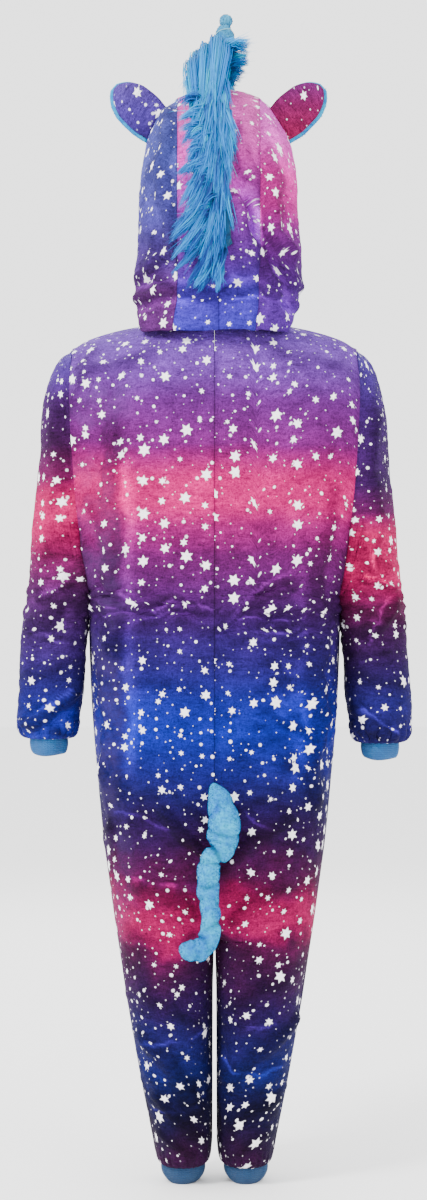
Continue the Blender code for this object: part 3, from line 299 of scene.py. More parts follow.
def hoodGrid(side, column, rows):
    angles = np.linspace(hoodFrontAngle, 0.0, rows + 1)
    grid = np.array([hoodPoints(angle, column) for angle in angles])
    neck = necklineUnder(grid[-1])
    foot = grid[-1].copy()
    flat = np.hypot(foot[:, 0], foot[:, 1])
    overhang = neckOverhang * (1 - smoothStep((column - 7) / 3))
    grow = np.maximum(1.0, (np.hypot(neck[:, 0], neck[:, 1]) + overhang) / flat)
    foot[:, :2] *= grow[:, None]
    foot[:, 2] = np.maximum(foot[:, 2], bodyTop(foot[:, 0], foot[:, 1]) + hoodLift)
    weight = np.clip(1 - angles / hoodLiftAngle, 0.0, 1.0) ** 2
    grid = grid + weight[:, None, None] * (foot - grid[-1])[None]
    under = 0.5 * foot + 0.5 * neck
    under[:, 2] = np.maximum(under[:, 2] - 0.002, bodyTop(under[:, 0], under[:, 1]) + hoodLift * 0.6)
    neck[:, 2] += 0.0016
    fold = []                                   # the rolled foot, on a soft curve
    for t in np.linspace(0, 1, 7)[1:]:
        middle = under + (under - 0.5 * (foot + neck)) * 0.6
        fold.append((1 - t) ** 2 * foot + 2 * t * (1 - t) * middle + t * t * neck)
    grid = np.concatenate([grid, fold])
    if side < 0:
        grid[:, :, 0] *= 1 - 0.045 * np.exp(-((grid[:, :, 2] - 0.058) / 0.030) ** 2)
    rise = smoothStep((grid[:, :, 2] - hoodCorner[1]) / 0.05)
    grid[:, :, 0] = side * grid[:, :, 0] + hoodShift * rise
    return grid


def gridNormals(grid, closed, turned):
    if closed:
        across = np.roll(grid, -1, axis=1) - np.roll(grid, 1, axis=1)
    else:
        across = np.gradient(grid, axis=1)
    normal = np.cross(np.gradient(grid, axis=0), across) * turned
    return unitRows(normal, 1e-15)


print("surfaces ready")


# soft troughs (-) and ridges (+) between two points of the x-z view, in millimetres
foldColumns = ("x0", "z0", "x1", "z1", "width", "rise")
backFolds = (
    # waist and sides
    (173, -408, 60, -398, 8, -2.8), (60, -398, -60, -412, 8, -2.2), (-60, -412, -175, -400, 8, -3),
    (172, -392, 100, -398, 4.5, -3.2), (110, -402, 20, -404, 4.2, -3), (140, -412, 60, -409, 4, 2.2),
    (-10, -430, -60, -400, 5, -3.4), (-50, -398, -120, -368, 5, -3.4), (-66, -384, -118, -352, 4, 2.2),
    (-100, -420, -170, -410, 4.2, -3), (-30, -452, -140, -470, 5, -2.6), (120, -424, 10, -430, 8, -2.5),
    (-70, -432, -160, -424, 7, -3), (147, -150, 143, -660, 11, -6.5), (128, -200, 122, -620, 12, 3.2),
    (158, -440, 150, -720, 6, -3.5), (136, -480, 131, -640, 5, -2.5), (-147, -333, -142, -680, 11, -6.5),
    (-128, -360, -124, -640, 12, 3.2), (-157, -420, -150, -600, 6, -3), (-70, -480, -140, -520, 6, -2.8),
    (-64, -520, -135, -500, 6, -2.2), (-75, -556, -138, -585, 6, -3), (-95, -530, -140, -548, 5, 2.2),
    (-80, -605, -135, -640, 7, -2.8), (20, -520, 105, -508, 8, -2),
    # fine lines at the waist
    (181, -389, 133, -379, 5, -4.2), (181, -383, 133, -372, 4.5, 3.4), (133, -413, 79, -411, 4.6, -4.6),
    (133, -406, 79, -404, 4.2, 3.6), (79, -411, 33, -400, 4.6, -4.4), (79, -404, 33, -393, 4.2, 3.4),
    (33, -400, 0, -402, 4.6, -3.8), (-3, -438, -36, -409, 4.6, -4.6), (-9, -440, -42, -411, 4, 3.4),
    (-36, -409, -58, -379, 4.6, -4.2), (-58, -379, -100, -363, 4.6, -4.6), (-58, -372, -100, -356, 4, 3.4),
    (-100, -363, -125, -355, 4.6, -4), (-69, -428, -131, -423, 4.6, -4.4), (-69, -421, -131, -416, 4, 3.2),
    (-90, -452, -150, -446, 4.6, -3.4),
    # seat
    (72, -699, 14, -751, 8, -6.5), (-18, -765, -95, -705, 10, -4.8), (110, -800, 30, -835, 10, -4),
    (-30, -845, -100, -800, 10, -3.6), (60, -670, 18, -700, 6, -2.6), (-20, -700, -70, -680, 6, -2.4),
    # legs
    (94, -1027, 21, -1131, 11, -6.5), (-109, -1000, -30, -1080, 11, -6), (80, -1110, 30, -1165, 9, -3.6),
    (-85, -1110, -28, -1150, 8, -3.6), (98, -960, 30, -1000, 10, -3), (-100, -935, -40, -975, 10, -3),
    (70, -1170, 40, -1196, 7, -3), (-70, -1168, -35, -1192, 7, -3),
    # shoulders and armholes
    (90, -40, 185, -70, 10, -3), (-80, -34, -180, -62, 10, -3), (197, -300, 186, -400, 11, -4.5),
    (-196, -290, -186, -400, 11, -4.5), (186, -60, 202, -120, 6, -3), (178, -40, 196, -60, 5, -2.8),
    (172, -250, 150, -340, 9, -4), (-172, -240, -148, -330, 9, -3.8),
    # sleeves
    (263, -568, 202, -522, 10, -8.5), (262, -584, 210, -556, 9, 4.5), (-211, -554, -258, -588, 10, -7),
    (225, -400, 262, -430, 12, -5), (-225, -430, -262, -400, 12, -5), (214, -300, 246, -325, 10, -3.2),
    (-214, -320, -250, -340, 10, -3.4), (232, -488, 268, -500, 9, -3), (-222, -498, -262, -515, 9, -3.4),
    (222, -120, 226, -240, 10, -3), (-226, -130, -232, -260, 10, -3), (-205, -290, -232, -345, 5, -4),
    (-240, -300, -214, -352, 5, -3.8), (-216, -360, -250, -372, 5, -4.2),
    (-216, -353, -250, -365, 4.2, 3.4), (-204, -400, -238, -424, 5, -4), (-256, -388, -228, -450, 5, -3.8),
    (-250, -388, -222, -450, 4.2, 3.2), (-210, -470, -250, -462, 5, -3.4), (210, -368, 250, -388, 5, -3.8),
    (210, -361, 250, -381, 4.2, 3), (216, -450, 256, -436, 5, -3.4), (206, -330, 236, -310, 5, -3.2),
    (268, -560, 214, -520, 4.4, 4.2), (-214, -546, -262, -580, 4.4, 4.2), (-206, -575, -240, -592, 4.4, -4),
    (214, -590, 240, -574, 4.4, -3.6),
    # hood
    (-12, 217, -50, 166, 10, 11), (-50, 166, -80, 100, 10, 15), (-80, 100, -106, 34, 8, 10),
    (-70, 180, -88, 110, 14, -16), (-88, 110, -100, 70, 12, -12), (-24, 170, -56, 90, 10, -9),
    (-52, 150, -78, 90, 3.4, 3), (-30, 250, -90, 175, 6, -4), (0, 200, -40, 90, 9, -4.5),
    (-40, 70, -96, 62, 6, -5), (-30, 36, -90, 40, 6, 4.5), (96, 92, 50, 88, 6, -4), (98, 30, 40, 36, 6, 4),
    (-44, 300, -40, 160, 9, -5), (66, 330, 70, 215, 9, -4.5), (50, 110, 100, 75, 7, -4.2),
    (60, 82, 104, 62, 6, 4), (-10, 56, -60, 70, 7, 4.5), (20, 64, 70, 58, 6, 4), (100, 47, -96, 46, 7, -7),
    (68, 200, 62, 110, 10, -6.5), (90, 120, 70, 40, 9, -4), (-30, 170, -70, 75, 9, -4),
    (-60, 290, -84, 200, 12, -4), (58, 300, 84, 220, 12, -3.5),
)
frontFolds = (
    (170, -400, 30, -412, 11, -5), (-30, -405, -170, -396, 11, -5), (146, -180, 142, -640, 12, -5),
    (-146, -250, -141, -660, 12, -5.5), (90, -760, 24, -815, 10, -5), (-85, -745, -22, -808, 10, -5),
    (95, -1010, 25, -1060, 11, -4.5), (-98, -1040, -28, -1095, 11, -5), (197, -290, 186, -390, 12, -3.5),
    (-197, -280, -186, -390, 12, -3.5), (212, -548, 262, -580, 10, -6.5),
    (-212, -540, -262, -572, 10, -6.5), (120, -120, 50, -200, 12, -3), (-118, -110, -55, -185, 12, -3),
    (75, 130, 95, 50, 10, -4), (-80, 150, -98, 60, 10, -4),
)


foldGain = 1.45


def foldHeight(points):
    x, y, z = points[..., 0], points[..., 1], points[..., 2]
    total = np.zeros(x.shape)
    # the folds wander a little, so that none is a ruled line
    wanderX = 0.004 * np.sin(z * 47.0 + x * 21.0) + 0.002 * np.sin(z * 131.0)
    wanderZ = 0.004 * np.sin(x * 53.0 + 1.3) + 0.002 * np.sin(x * 141.0 + z * 17.0)
    for face, fold in [(1, fold) for fold in backFolds] + [(-1, fold) for fold in frontFolds]:
        row = dict(zip(foldColumns, (size / 1000 for size in fold)))
        runX, runZ = row["x1"] - row["x0"], row["z1"] - row["z0"]
        length = math.hypot(runX, runZ)
        runX, runZ = runX / length, runZ / length
        fromX, fromZ = x + wanderX - row["x0"], z + wanderZ - row["z0"]
        along = (fromX * runX + fromZ * runZ) / length
        beyond = np.maximum(0.0, np.maximum(-along, along - 1)) * length
        aside = fromX * runZ - fromZ * runX
        distance = np.hypot(aside, beyond * 0.7)
        height = np.exp(-(distance / row["width"]) ** 2)
        total += np.where(y * face > 0, foldGain * row["rise"] * height, 0.0)
    return total * smoothStep(np.abs(y) / 0.05)


# thin crests on the back, raised a little, that get a painted highlight; each as points (x, z) in millimetres
crests = (
    ((182, -391), (161, -390), (145, -402), (138, -404)), ((158, -369), (139, -379), (126, -393)),
    ((154, -414), (124, -410), (84, -406), (68, -400), (36, -400), (1, -404)),
    ((124, -419), (89, -417), (71, -409), (38, -409)), ((69, -394), (39, -394)),
    ((-6, -436), (-25, -417), (-41, -396), (-62, -374), (-102, -354), (-111, -349)),
    ((-12, -409), (-25, -403), (-41, -393), (-52, -380)), ((-62, -436), (-86, -422), (-99, -422)),
    ((-71, -437), (-92, -440), (-111, -436), (-118, -430)), ((-31, -416), (-59, -416), (-71, -419)),
    ((-49, -1007), (-88, -1002)), ((-14, -1057), (-34, -1070), (-64, -1076), (-94, -1066)),
    ((104, -1030), (74, -1030), (38, -1025), (14, -1016)), ((91, -1126), (49, -1132), (19, -1109)),
    ((139, -697), (109, -697), (91, -709), (64, -719)), ((-36, -686), (-58, -709), (-82, -719)),
    ((115, -790), (85, -799), (55, -799)), ((214, -523), (240, -545), (266, -563)),
    ((212, -364), (230, -374), (250, -384)), ((-214, -549), (-240, -569), (-262, -583)),
    ((-216, -356), (-250, -368)), ((-252, -385), (-236, -420), (-224, -453)),
    ((-206, -294), (-222, -322), (-231, -350)), ((216, -453), (236, -447), (256, -440)),
    ((-206, -404), (-236, -427)),
)


def crestLines(points):
    x, y, z = points[..., 0], points[..., 1], points[..., 2]
    x = x + 0.0016 * np.sin(z * 190.0) + 0.0008 * np.sin(z * 510.0 + x * 90.0)
    z = z + 0.0016 * np.sin(x * 170.0 + 0.6) + 0.0008 * np.sin(x * 470.0)
    strength = np.zeros(x.shape)
    for crest in crests:
        crest = np.array(crest) / 1000
        for (x0, z0), (x1, z1) in zip(crest[:-1], crest[1:]):
            square = (x1 - x0) ** 2 + (z1 - z0) ** 2
            along = np.clip(((x - x0) * (x1 - x0) + (z - z0) * (z1 - z0)) / square, 0, 1)
            distance = np.hypot(x - x0 - along * (x1 - x0), z - z0 - along * (z1 - z0))
            strength = np.maximum(strength, np.exp(-(distance / 0.0023) ** 2))
    uneven = 0.65 + 0.35 * np.sin(x * 97.0 + z * 61.0)
    return strength * uneven * (y > 0.02)


def rumple(points, size, rise, seed):
    flat = points.reshape(-1, 3)
    heights = [noise.noise(Vector((p[0] * 0.9 + seed, p[1] * 0.9, p[2])) / size) for p in flat]
    return rise * np.array(heights).reshape(points.shape[:-1])


def crushed(points):
    # short crossing wrinkles, strongest on the wearer's right hip and inside the elbows
    x, y, z = points[..., 0], points[..., 1], points[..., 2]
    hip = np.exp(-((x + 0.100) / 0.055) ** 2 - ((z + 0.560) / 0.085) ** 2) * (y > 0)
    waist = np.exp(-((z + 0.405) / 0.030) ** 2) * 0.7
    elbow = np.exp(-((np.abs(x) - 0.225) / 0.030) ** 2 - ((z + 0.415) / 0.060) ** 2) * 0.7
    seat = np.exp(-(x / 0.080) ** 2 - ((z + 0.790) / 0.080) ** 2) * 0.5 * (y > 0)
    wrist = np.exp(-((np.abs(x) - 0.235) / 0.045) ** 2 - ((z + 0.555) / 0.035) ** 2) * 0.6
    shin = np.exp(-((z + 1.080) / 0.060) ** 2) * 0.35
    foot = np.exp(-((z - 0.055) / 0.035) ** 2) * 0.6
    strength = np.clip(0.16 + hip + waist + elbow + seat + wrist + shin + foot, 0, 1.1)
    flattened = points * np.array([1.0, 1.0, 2.3])
    ridges = 0.35 - np.abs(rumple(flattened, 0.034, 2.2, 3.7))        # thin crests between rounded hollows
    return strength * (0.0038 * ridges + rumple(flattened, 0.021, 0.0028, 6.1))


def seamDip(distance, depth=0.0016, reach=0.0045):
    return -depth * np.exp(-(distance / reach) ** 2)


def runLengths(grid, axis):
    step = np.linalg.norm(np.diff(grid, axis=axis), axis=-1)
    start = np.zeros_like(np.take(step, [0], axis=axis))
    return np.concatenate([start, np.cumsum(step, axis=axis)], axis=axis)


def dressGrid(grid, closed, turned, seams, calm=0.012):
    # folds, soft unevenness and the dip along each sewn edge; also a painted shade value for troughs and seam
    # dips and a painted highlight value for crests
    normal = gridNormals(grid, closed, turned)
    across = runLengths(grid, 1)
    along = runLengths(grid, 0)
    lines = crestLines(grid)
    creases = foldHeight(grid) + crushed(grid) + 0.0012 * lines
    height = creases + rumple(grid, 0.085, 0.0030, 1.1) + rumple(grid, 0.034, 0.0011, 8.3)
    edge = np.full(grid.shape[:2], 1.0)
    distances = {"first": across, "last": across[:, -1:] - across, "top": along, "end": along[-1:] - along}
    for name in seams:
        edge = np.minimum(edge, distances[name])
    endFade = smoothStep(distances["end"] / 0.030)
    height = height * np.where(np.isin("end", seams), endFade, 1.0) * smoothStep(edge / calm)
    dip = sum(seamDip(distances[name]) for name in seams if name != "end")
    # painted shade in creases and seam dips, painted highlight along the crests; the materials darken or
    # lighten the colour by it
    foldShading = np.clip(creases / 0.0048 + dip / 0.0050, -1, 1) + 2.4 * lines
    return grid + normal * (height + dip)[..., None], foldShading


def panelUv(grid, side, start):
    # arc length out from the middle; height, or length along the cloth over the shoulder
    across = runLengths(grid, 1)
    step = np.linalg.norm(np.diff(grid, axis=0), axis=-1)
    drop = np.sqrt(np.maximum(step ** 2 - np.diff(across, axis=0) ** 2, np.diff(grid[:, :, 2], axis=0) ** 2))
    v = -np.concatenate([np.zeros((1, grid.shape[1])), np.cumsum(drop, axis=0)])
    anchor = int(np.argmin(np.abs(grid[:, 0, 2] - underarm)))
    v = np.where(np.arange(len(grid))[:, None] < anchor, v - v[anchor] + grid[anchor, :, 2], grid[:, :, 2])
    # below the hips the side seam keeps its place in the print, and the inside of the leg takes up the change
    hips = int(np.argmin(np.abs(grid[:, 0, 2] - (crotch + 0.06))))
    total = across[:, -1:]
    held = np.where(np.arange(len(grid))[:, None] > hips, total[hips] - total, 0.0)
    return side * (across + held) + start[0], v + start[1]


def sleeveUv(grid, side, start):
    # arc length round the arm from its back line, on a flat cut through it, and the height
    x, y, z = side * grid[..., 0], grid[..., 1], grid[..., 2]
    rows = sleeve[1]
    outer = np.array([(r[2], r[1]) for r in rows][::-1])
    inner = np.array([(r[4], r[3]) for r in rows[1:]][::-1])
    outerX = np.interp(z, outer[:, 0], outer[:, 1])
    innerX = np.where(z > -0.389, readCurve(armhole, "reach", z), np.interp(z, inner[:, 0], inner[:, 1]))
    half = np.maximum((outerX - innerX) / 2, 0.012)
    depth = np.interp(z, (-0.59, -0.40, -0.10), (0.048, 0.060, 0.082))
    turn = np.arctan2(y / depth, (x - (outerX + innerX) / 2) / half) - math.pi / 2
    turn = (turn + math.pi) % (2 * math.pi) - math.pi
    total = np.zeros(turn.shape)
    for k in range(25):
        angle = math.pi / 2 + turn * k / 24
        weight = 0.5 if k in (0, 24) else 1.0
        total += weight * np.hypot(half * np.sin(angle), depth * np.cos(angle))
    return -side * turn * total / 24 + start[0], z + start[1], turn


def hoodSideUv(grid, side, start, fan=0.42):
    # the panel opens as a fan, with its curved seam kept at full length
    reach = fan - runLengths(grid, 1)
    seam = runLengths(grid, 0)[:, :1]
    angle = (seam[-1] - seam) / fan
    return -side * reach * np.cos(angle) + start[0], reach * np.sin(angle) + start[1]


def stripUv(grid, side, start):
    down = -runLengths(grid, 0)[:, :1] + np.zeros(grid.shape[:2])
    return side * runLengths(grid, 1) + start[0], down + start[1]


def linked(name, data):
    made = bpy.data.objects.new(name, data)
    bpy.context.scene.collection.objects.link(made)
    return made


def gridObject(name, grid, closed, turned, uv, foldShading=None, turns=None):
    rows, columns = grid.shape[:2]
    last = columns if closed else columns - 1
    faces = []
    loops = []
    u, v = uv[:2]
    for r in range(rows - 1):
        for c in range(last):
            corners = [(r, c), (r, (c + 1) % columns), (r + 1, (c + 1) % columns), (r + 1, c)]
            if turned > 0:
                corners = corners[::-1]
            faces.append([i * columns + j for i, j in corners])
            first = corners[0]
            for corner in corners:
                wide = u[corner]
                if turns is not None and abs(turns[corner] - turns[first]) > math.pi:
                    wide = u[first]              # the print meets itself along the hidden front line
                loops.append((wide, v[corner]))
    mesh = bpy.data.meshes.new(name)
    mesh.from_pydata(grid.reshape(-1, 3).tolist(), [], faces)
    layer = mesh.uv_layers.new(name="clothUv")
    layer.data.foreach_set("uv", np.array(loops, dtype=np.float32).ravel())
    # the painted shade and highlight of each point, kept as an attribute
    if foldShading is not None:
        values = mesh.attributes.new("foldShading", "FLOAT", "POINT").data
        values.foreach_set("value", foldShading.ravel().astype(np.float32))
    mesh.shade_smooth()
    return linked(name, mesh)


def sew(piece, wall, offset=-1.0):
    # gives a sheet its wall
    solidify = piece.modifiers.new("wall", "SOLIDIFY")
    solidify.thickness = wall
    solidify.offset = offset
    solidify.use_even_offset = False


def place(piece, node, material):
    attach(piece, "root")
    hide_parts(node)
    piece.data.materials.append(material)
    return piece


def linear(red, green, blue, share=0.5):
    # share is how much light a dyed cloth gives back
    channels = [value / 255 for value in (red, green, blue)]
    curved = [v / 12.92 if v <= 0.04045 else ((v + 0.055) / 1.055) ** 2.4 for v in channels]
    return tuple(share * v for v in curved) + (1.0,)


def addNode(tree, kind, inputs=None, **settings):
    made = tree.nodes.new("ShaderNode" + kind)
    for key, value in settings.items():
        setattr(made, key, value)
    for key, value in (inputs or {}).items():
        if isinstance(value, bpy.types.NodeSocket):
            tree.links.new(value, made.inputs[key])
        else:
            made.inputs[key].default_value = value
    return made


def calc(tree, operation, a, b=0.0, c=0.0, clamp=False):
    return addNode(tree, "Math", {0: a, 1: b, 2: c}, operation=operation, use_clamp=clamp).outputs[0]


def product(tree, first, *others):
    for other in others:
        first = calc(tree, "MULTIPLY", first, other)
    return first


def weighted(tree, a, share, b, clamp=False):
    return calc(tree, "MULTIPLY_ADD", a, share, b, clamp)


def vectorOf(tree, operation, *inputs):
    return addNode(tree, "VectorMath", dict(enumerate(inputs)), operation=operation).outputs[0]


def scaled(tree, colour, share):
    return addNode(tree, "VectorMath", {0: colour, "Scale": share}, operation="SCALE").outputs[0]


def mixColour(tree, factor, a, b):
    return addNode(tree, "Mix", {0: factor, 6: a, 7: b}, data_type="RGBA").outputs[2]


def spread(tree, value, low, high, toLow=0.0, toHigh=1.0, kind="LINEAR"):
    inputs = {0: value, 1: low, 2: high, 3: toLow, 4: toHigh}
    return addNode(tree, "MapRange", inputs, interpolation_type=kind).outputs[0]


def stretched(tree, uv, acrossTimes, alongTimes, turn=0.0):
    inputs = {0: uv, 2: (0.0, 0.0, turn), 3: (acrossTimes, alongTimes, 1.0)}
    return addNode(tree, "Mapping", inputs).outputs[0]


def cloud(tree, spot, scale, detail, roughness=0.5, distortion=0.0):
    inputs = {"Vector": spot, "Scale": scale, "Detail": detail, "Roughness": roughness,
              "Distortion": distortion}
    return addNode(tree, "TexNoise", inputs).outputs[0]


def placeOf(tree):
    return addNode(tree, "TexCoord").outputs["Object"]


def uvOf(tree, name):
    return addNode(tree, "UVMap", uv_map=name).outputs[0]


def partsOf(tree, vector):
    return addNode(tree, "SeparateXYZ", {0: vector}).outputs


def foldShadingOf(tree):
    return addNode(tree, "Attribute", attribute_name="foldShading").outputs["Fac"]


def bump(tree, height, strength, distance, under=None):
    inputs = {"Strength": strength, "Distance": distance, "Height": height}
    if under:
        inputs["Normal"] = under
    return addNode(tree, "Bump", inputs).outputs[0]


def newMaterial(name):
    material = bpy.data.materials.new(name)
    material.use_nodes = True
    return material, material.node_tree


def finish(tree, colour, roughness, specular=None, sheen=None, sheenRoughness=None, sheenTint=None,
           normal=None):
    # colour and normal come from nodes; what is None keeps the shader's own value
    values = {"Base Color": colour, "Roughness": roughness, "Specular IOR Level": specular,
              "Sheen Weight": sheen, "Sheen Roughness": sheenRoughness, "Sheen Tint": sheenTint,
              "Normal": normal}
    shader = tree.nodes["Principled BSDF"]
    for key, value in values.items():
        if isinstance(value, bpy.types.NodeSocket):
            tree.links.new(value, shader.inputs[key])
        elif value is not None:
            shader.inputs[key].default_value = value


def rampOf(tree, factor, stops):
    # each stop is a height in millimetres and its colour, red, green and blue of 255
    stops = sorted(stops)
    low, high = stops[0][0], stops[-1][0]
    ramp = addNode(tree, "ValToRGB", {0: spread(tree, factor, low / 1000, high / 1000)})
    elements = ramp.color_ramp.elements
    while len(elements) < len(stops):
        elements.new(0.5)
    for element, (at, *colour) in zip(elements, stops):
        element.position = (at - low) / (high - low)
        element.color = linear(*colour)
    return ramp.outputs[0]


def starLayer(tree, uv, cell, sizes, seed, waist=0.55, spin=0.45):
    # one six-pointed star to a cell; sizes gives (share of the cells, radius), largest radius first
    spot = scaled(tree, vectorOf(tree, "ADD", uv, (seed, seed * 0.37, 0.0)), 1.0 / cell)
    voronoi = addNode(tree, "TexVoronoi", {"Vector": spot, "Scale": 1.0, "Randomness": 0.74},
                      voronoi_dimensions="2D")
    local = partsOf(tree, vectorOf(tree, "SUBTRACT", spot, voronoi.outputs["Position"]))
    chance = addNode(tree, "SeparateColor", {0: voronoi.outputs["Color"]}).outputs
    base = sizes[-1][1]
    for (share, radius), smaller in zip(sizes[-2::-1], sizes[:0:-1]):
        base = weighted(tree, calc(tree, "LESS_THAN", chance[0], share), radius - smaller[1], base)
    size = product(tree, base, weighted(tree, chance[1], 0.30 / cell, 0.85 / cell))
    length = calc(tree, "DIVIDE", voronoi.outputs["Distance"], size)
    turn = weighted(tree, chance[2], spin, calc(tree, "ARCTAN2", local[0], local[1]))
    third = math.pi / 3
    # the fold of the angle onto one half of one point of the star
    folded = calc(tree, "MODULO", calc(tree, "ADD", turn, 4 * math.pi + third / 2), third)
    folded = calc(tree, "ABSOLUTE", calc(tree, "SUBTRACT", folded, third / 2))
    across = product(tree, length, calc(tree, "SINE", folded))
    ahead = calc(tree, "SUBTRACT", product(tree, length, calc(tree, "COSINE", folded)), 1.0)
    valleyX, valleyY = waist * math.cos(third / 2), waist * math.sin(third / 2)
    run = math.hypot(valleyX - 1, valleyY)
    # distance to the line from the star's tip to its valley
    inside = weighted(tree, across, (valleyX - 1) / run, product(tree, ahead, -valleyY / run))
    sharp = calc(tree, "DIVIDE", inside, calc(tree, "DIVIDE", 0.0007, product(tree, size, cell)))
    kept = calc(tree, "LESS_THAN", chance[0], sizes[-1][0])
    return product(tree, spread(tree, sharp, -1.0, 1.0, kind="SMOOTHSTEP"), kept)


def dotLayer(tree, uv, cell, radius, share, least, seed):
    shifted = vectorOf(tree, "ADD", uv, (seed, seed * 0.71, 0.0))
    voronoi = addNode(tree, "TexVoronoi", {"Vector": shifted, "Scale": 1.0 / cell, "Randomness": 1.0},
                      voronoi_dimensions="2D")
    chance = addNode(tree, "SeparateColor", {0: voronoi.outputs["Color"]}).outputs
    size = weighted(tree, chance[1], 0.7 * radius / cell, 0.6 * radius / cell)
    away = calc(tree, "DIVIDE", voronoi.outputs["Distance"], size)
    edge = spread(tree, away, 0.60, 1.25, 1.0, 0.0, "SMOOTHSTEP")
    kept = calc(tree, "LESS_THAN", chance[0], share)
    return product(tree, edge, kept, weighted(tree, chance[2], 0.38, least))


starCell = 0.0300
starSizes = ((0.12, 0.0085), (0.33, 0.0058), (0.54, 0.0038))
dots = (                     # cell, radius, share of the cells, least brightness, shift of the pattern
    (0.021, 0.0021, 0.40, 0.62, 1.9), (0.0125, 0.0011, 0.42, 0.24, 5.3),
)


def fleece(name, stops, seed, sideSheen=None, seam=False, seamAt=0.0, gain=1.0):
    material, tree = newMaterial(name)
    uv = uvOf(tree, "clothUv")
    spot = placeOf(tree)
    where = partsOf(tree, spot)
    # the dye's edges wander
    wander = spread(tree, where[2], -0.64, -0.78, 0.026, 0.150)
    height = weighted(tree, calc(tree, "SUBTRACT", cloud(tree, spot, 8.0, 3.0, 0.6), 0.5), wander, where[2])
    colour = rampOf(tree, height, stops)
    blotch = cloud(tree, spot, 16.0, 5.0, 0.65)
    streak = cloud(tree, stretched(tree, uv, 150.0, 420.0), 1.0, 4.0, 0.7, 1.2)
    comb = cloud(tree, stretched(tree, uv, 520.0, 170.0, 0.7), 1.0, 3.0, 0.7, 0.8)
    nap = weighted(tree, streak, 0.6, product(tree, comb, 0.4))
    # pile that lies the other way is painted darker, as painted shade, and its edges get a painted highlight
    crush = cloud(tree, stretched(tree, uv, 24.0, 62.0), 1.0, 5.0, 0.62, 1.4)
    glint = spread(tree, calc(tree, "ABSOLUTE", calc(tree, "SUBTRACT", crush, 0.5)), 0.0, 0.010, 0.18, 0.0)
    crushTone = calc(tree, "ADD", spread(tree, crush, 0.36, 0.62, 0.78, 1.12), glint)
    napTone = spread(tree, nap, 0.33, 0.67, 0.32, 1.80)
    tone = product(tree, napTone, spread(tree, blotch, 0.3, 0.7, 0.72, 1.28), crushTone)
    foldShading = foldShadingOf(tree)
    crestHighlight = calc(tree, "MAXIMUM", foldShading, 0.0)         # painted highlight on the crests
    # painted shade in the troughs and seam dips, painted highlight on the crests
    foldShadeTone = weighted(tree, crestHighlight, 0.60, weighted(tree, foldShading, 0.46, 1.0))
    tone = product(tree, tone, dyeStrength * gain, foldShadeTone)
    if seam:
        # the stitched middle seam draws the pile in; the thin line along it is painted darker, as painted
        # shade in that dip
        aside = calc(tree, "ABSOLUTE", calc(tree, "SUBTRACT", where[0], seamAt))
        tone = product(tree, tone, spread(tree, aside, 0.0003, 0.0016, 0.50, 1.0))
    toned = scaled(tree, colour, tone)
    if sideSheen:
        # painted sheen: at the sides, where the surface turns away, the colour is mixed in patches toward a
        # greyer violet
        near = spread(tree, where[0], sideSheen[0], sideSheen[1], kind="SMOOTHSTEP")
        sheenPatches = spread(tree, blotch, 0.42, 0.60, 0.0, 0.30)
        toned = mixColour(tree, product(tree, near, sheenPatches), toned, linear(92, 70, 128))
    # the stars' own edges are frayed by the pile
    fray = vectorOf(tree, "SUBTRACT", streak.node.outputs["Color"], (0.5, 0.5, 0.5))
    frayed = vectorOf(tree, "MULTIPLY_ADD", fray, (0.0020, 0.0020, 0.0), uv)
    printed = starLayer(tree, frayed, starCell, starSizes, seed + 0.13)
    for cell, radius, share, least, shift in dots:
        layer = dotLayer(tree, frayed, cell, radius, share, least, seed + shift)
        printed = calc(tree, "MAXIMUM", printed, layer)
    printed = product(tree, printed, spread(tree, nap, 0.30, 0.45, 0.72, 1.0))
    white = mixColour(tree, 0.06, linear(252, 248, 254, 1.0), toned)
    relief = weighted(tree, nap, 0.7, product(tree, cloud(tree, spot, 420.0, 3.0), 0.3))
    normal = bump(tree, crush, 0.50, 0.008, bump(tree, relief, 0.55, 0.0022))
    final = mixColour(tree, printed, toned, white)
    finish(tree, final, 0.82, 0.05, 0.03, 0.45, linear(196, 176, 235), normal)
    return material


def plushMaterial(name, dark, light, scale, roughness=0.85, sheen=0.35):
    material, tree = newMaterial(name)
    spot = placeOf(tree)
    tuft = product(tree, cloud(tree, spot, scale, 4.0, 0.65), 0.4)
    both = weighted(tree, cloud(tree, spot, scale * 0.16, 4.0, 0.6, 0.6), 0.6, tuft)
    colour = mixColour(tree, spread(tree, both, 0.36, 0.64), linear(*dark), linear(*light))
    # painted shade in creases, from the piece's fold shading where it has one
    toned = scaled(tree, colour, weighted(tree, foldShadingOf(tree), 0.55, 1.0))
    finish(tree, toned, roughness, 0.2, sheen, 0.4, linear(170, 225, 245), bump(tree, both, 0.7, 0.0025))
    return material


bodyStops = (
    (20, 140, 92, 222), (-71, 134, 70, 190), (-106, 126, 46, 152), (-168, 140, 36, 136),
    (-196, 196, 30, 132), (-218, 246, 20, 138), (-256, 242, 20, 136), (-286, 184, 32, 132),
    (-325, 126, 30, 116), (-367, 104, 30, 114), (-422, 78, 32, 122), (-450, 60, 32, 124),
    (-486, 50, 34, 130), (-536, 34, 40, 162), (-582, 30, 46, 186), (-622, 32, 36, 146), (-665, 35, 29, 112),
    (-705, 42, 18, 86), (-745, 58, 16, 76), (-790, 104, 16, 80), (-822, 186, 14, 96), (-855, 190, 14, 98),
    (-890, 100, 16, 76), (-920, 70, 18, 68), (-968, 52, 20, 84), (-1011, 38, 26, 98), (-1045, 32, 32, 112),
    (-1080, 25, 33, 114), (-1115, 22, 24, 86), (-1155, 26, 17, 62), (-1190, 44, 18, 60),
    (-1212, 66, 22, 70),
)
leftSleeveStops = (
    (0, 122, 94, 206), (-60, 98, 60, 166), (-100, 84, 34, 116), (-170, 86, 26, 94), (-218, 144, 26, 104),
    (-246, 242, 16, 122), (-296, 232, 18, 120), (-335, 146, 32, 108), (-380, 98, 36, 108),
    (-440, 78, 40, 120), (-500, 50, 34, 122), (-550, 34, 38, 146), (-600, 38, 44, 150),
)
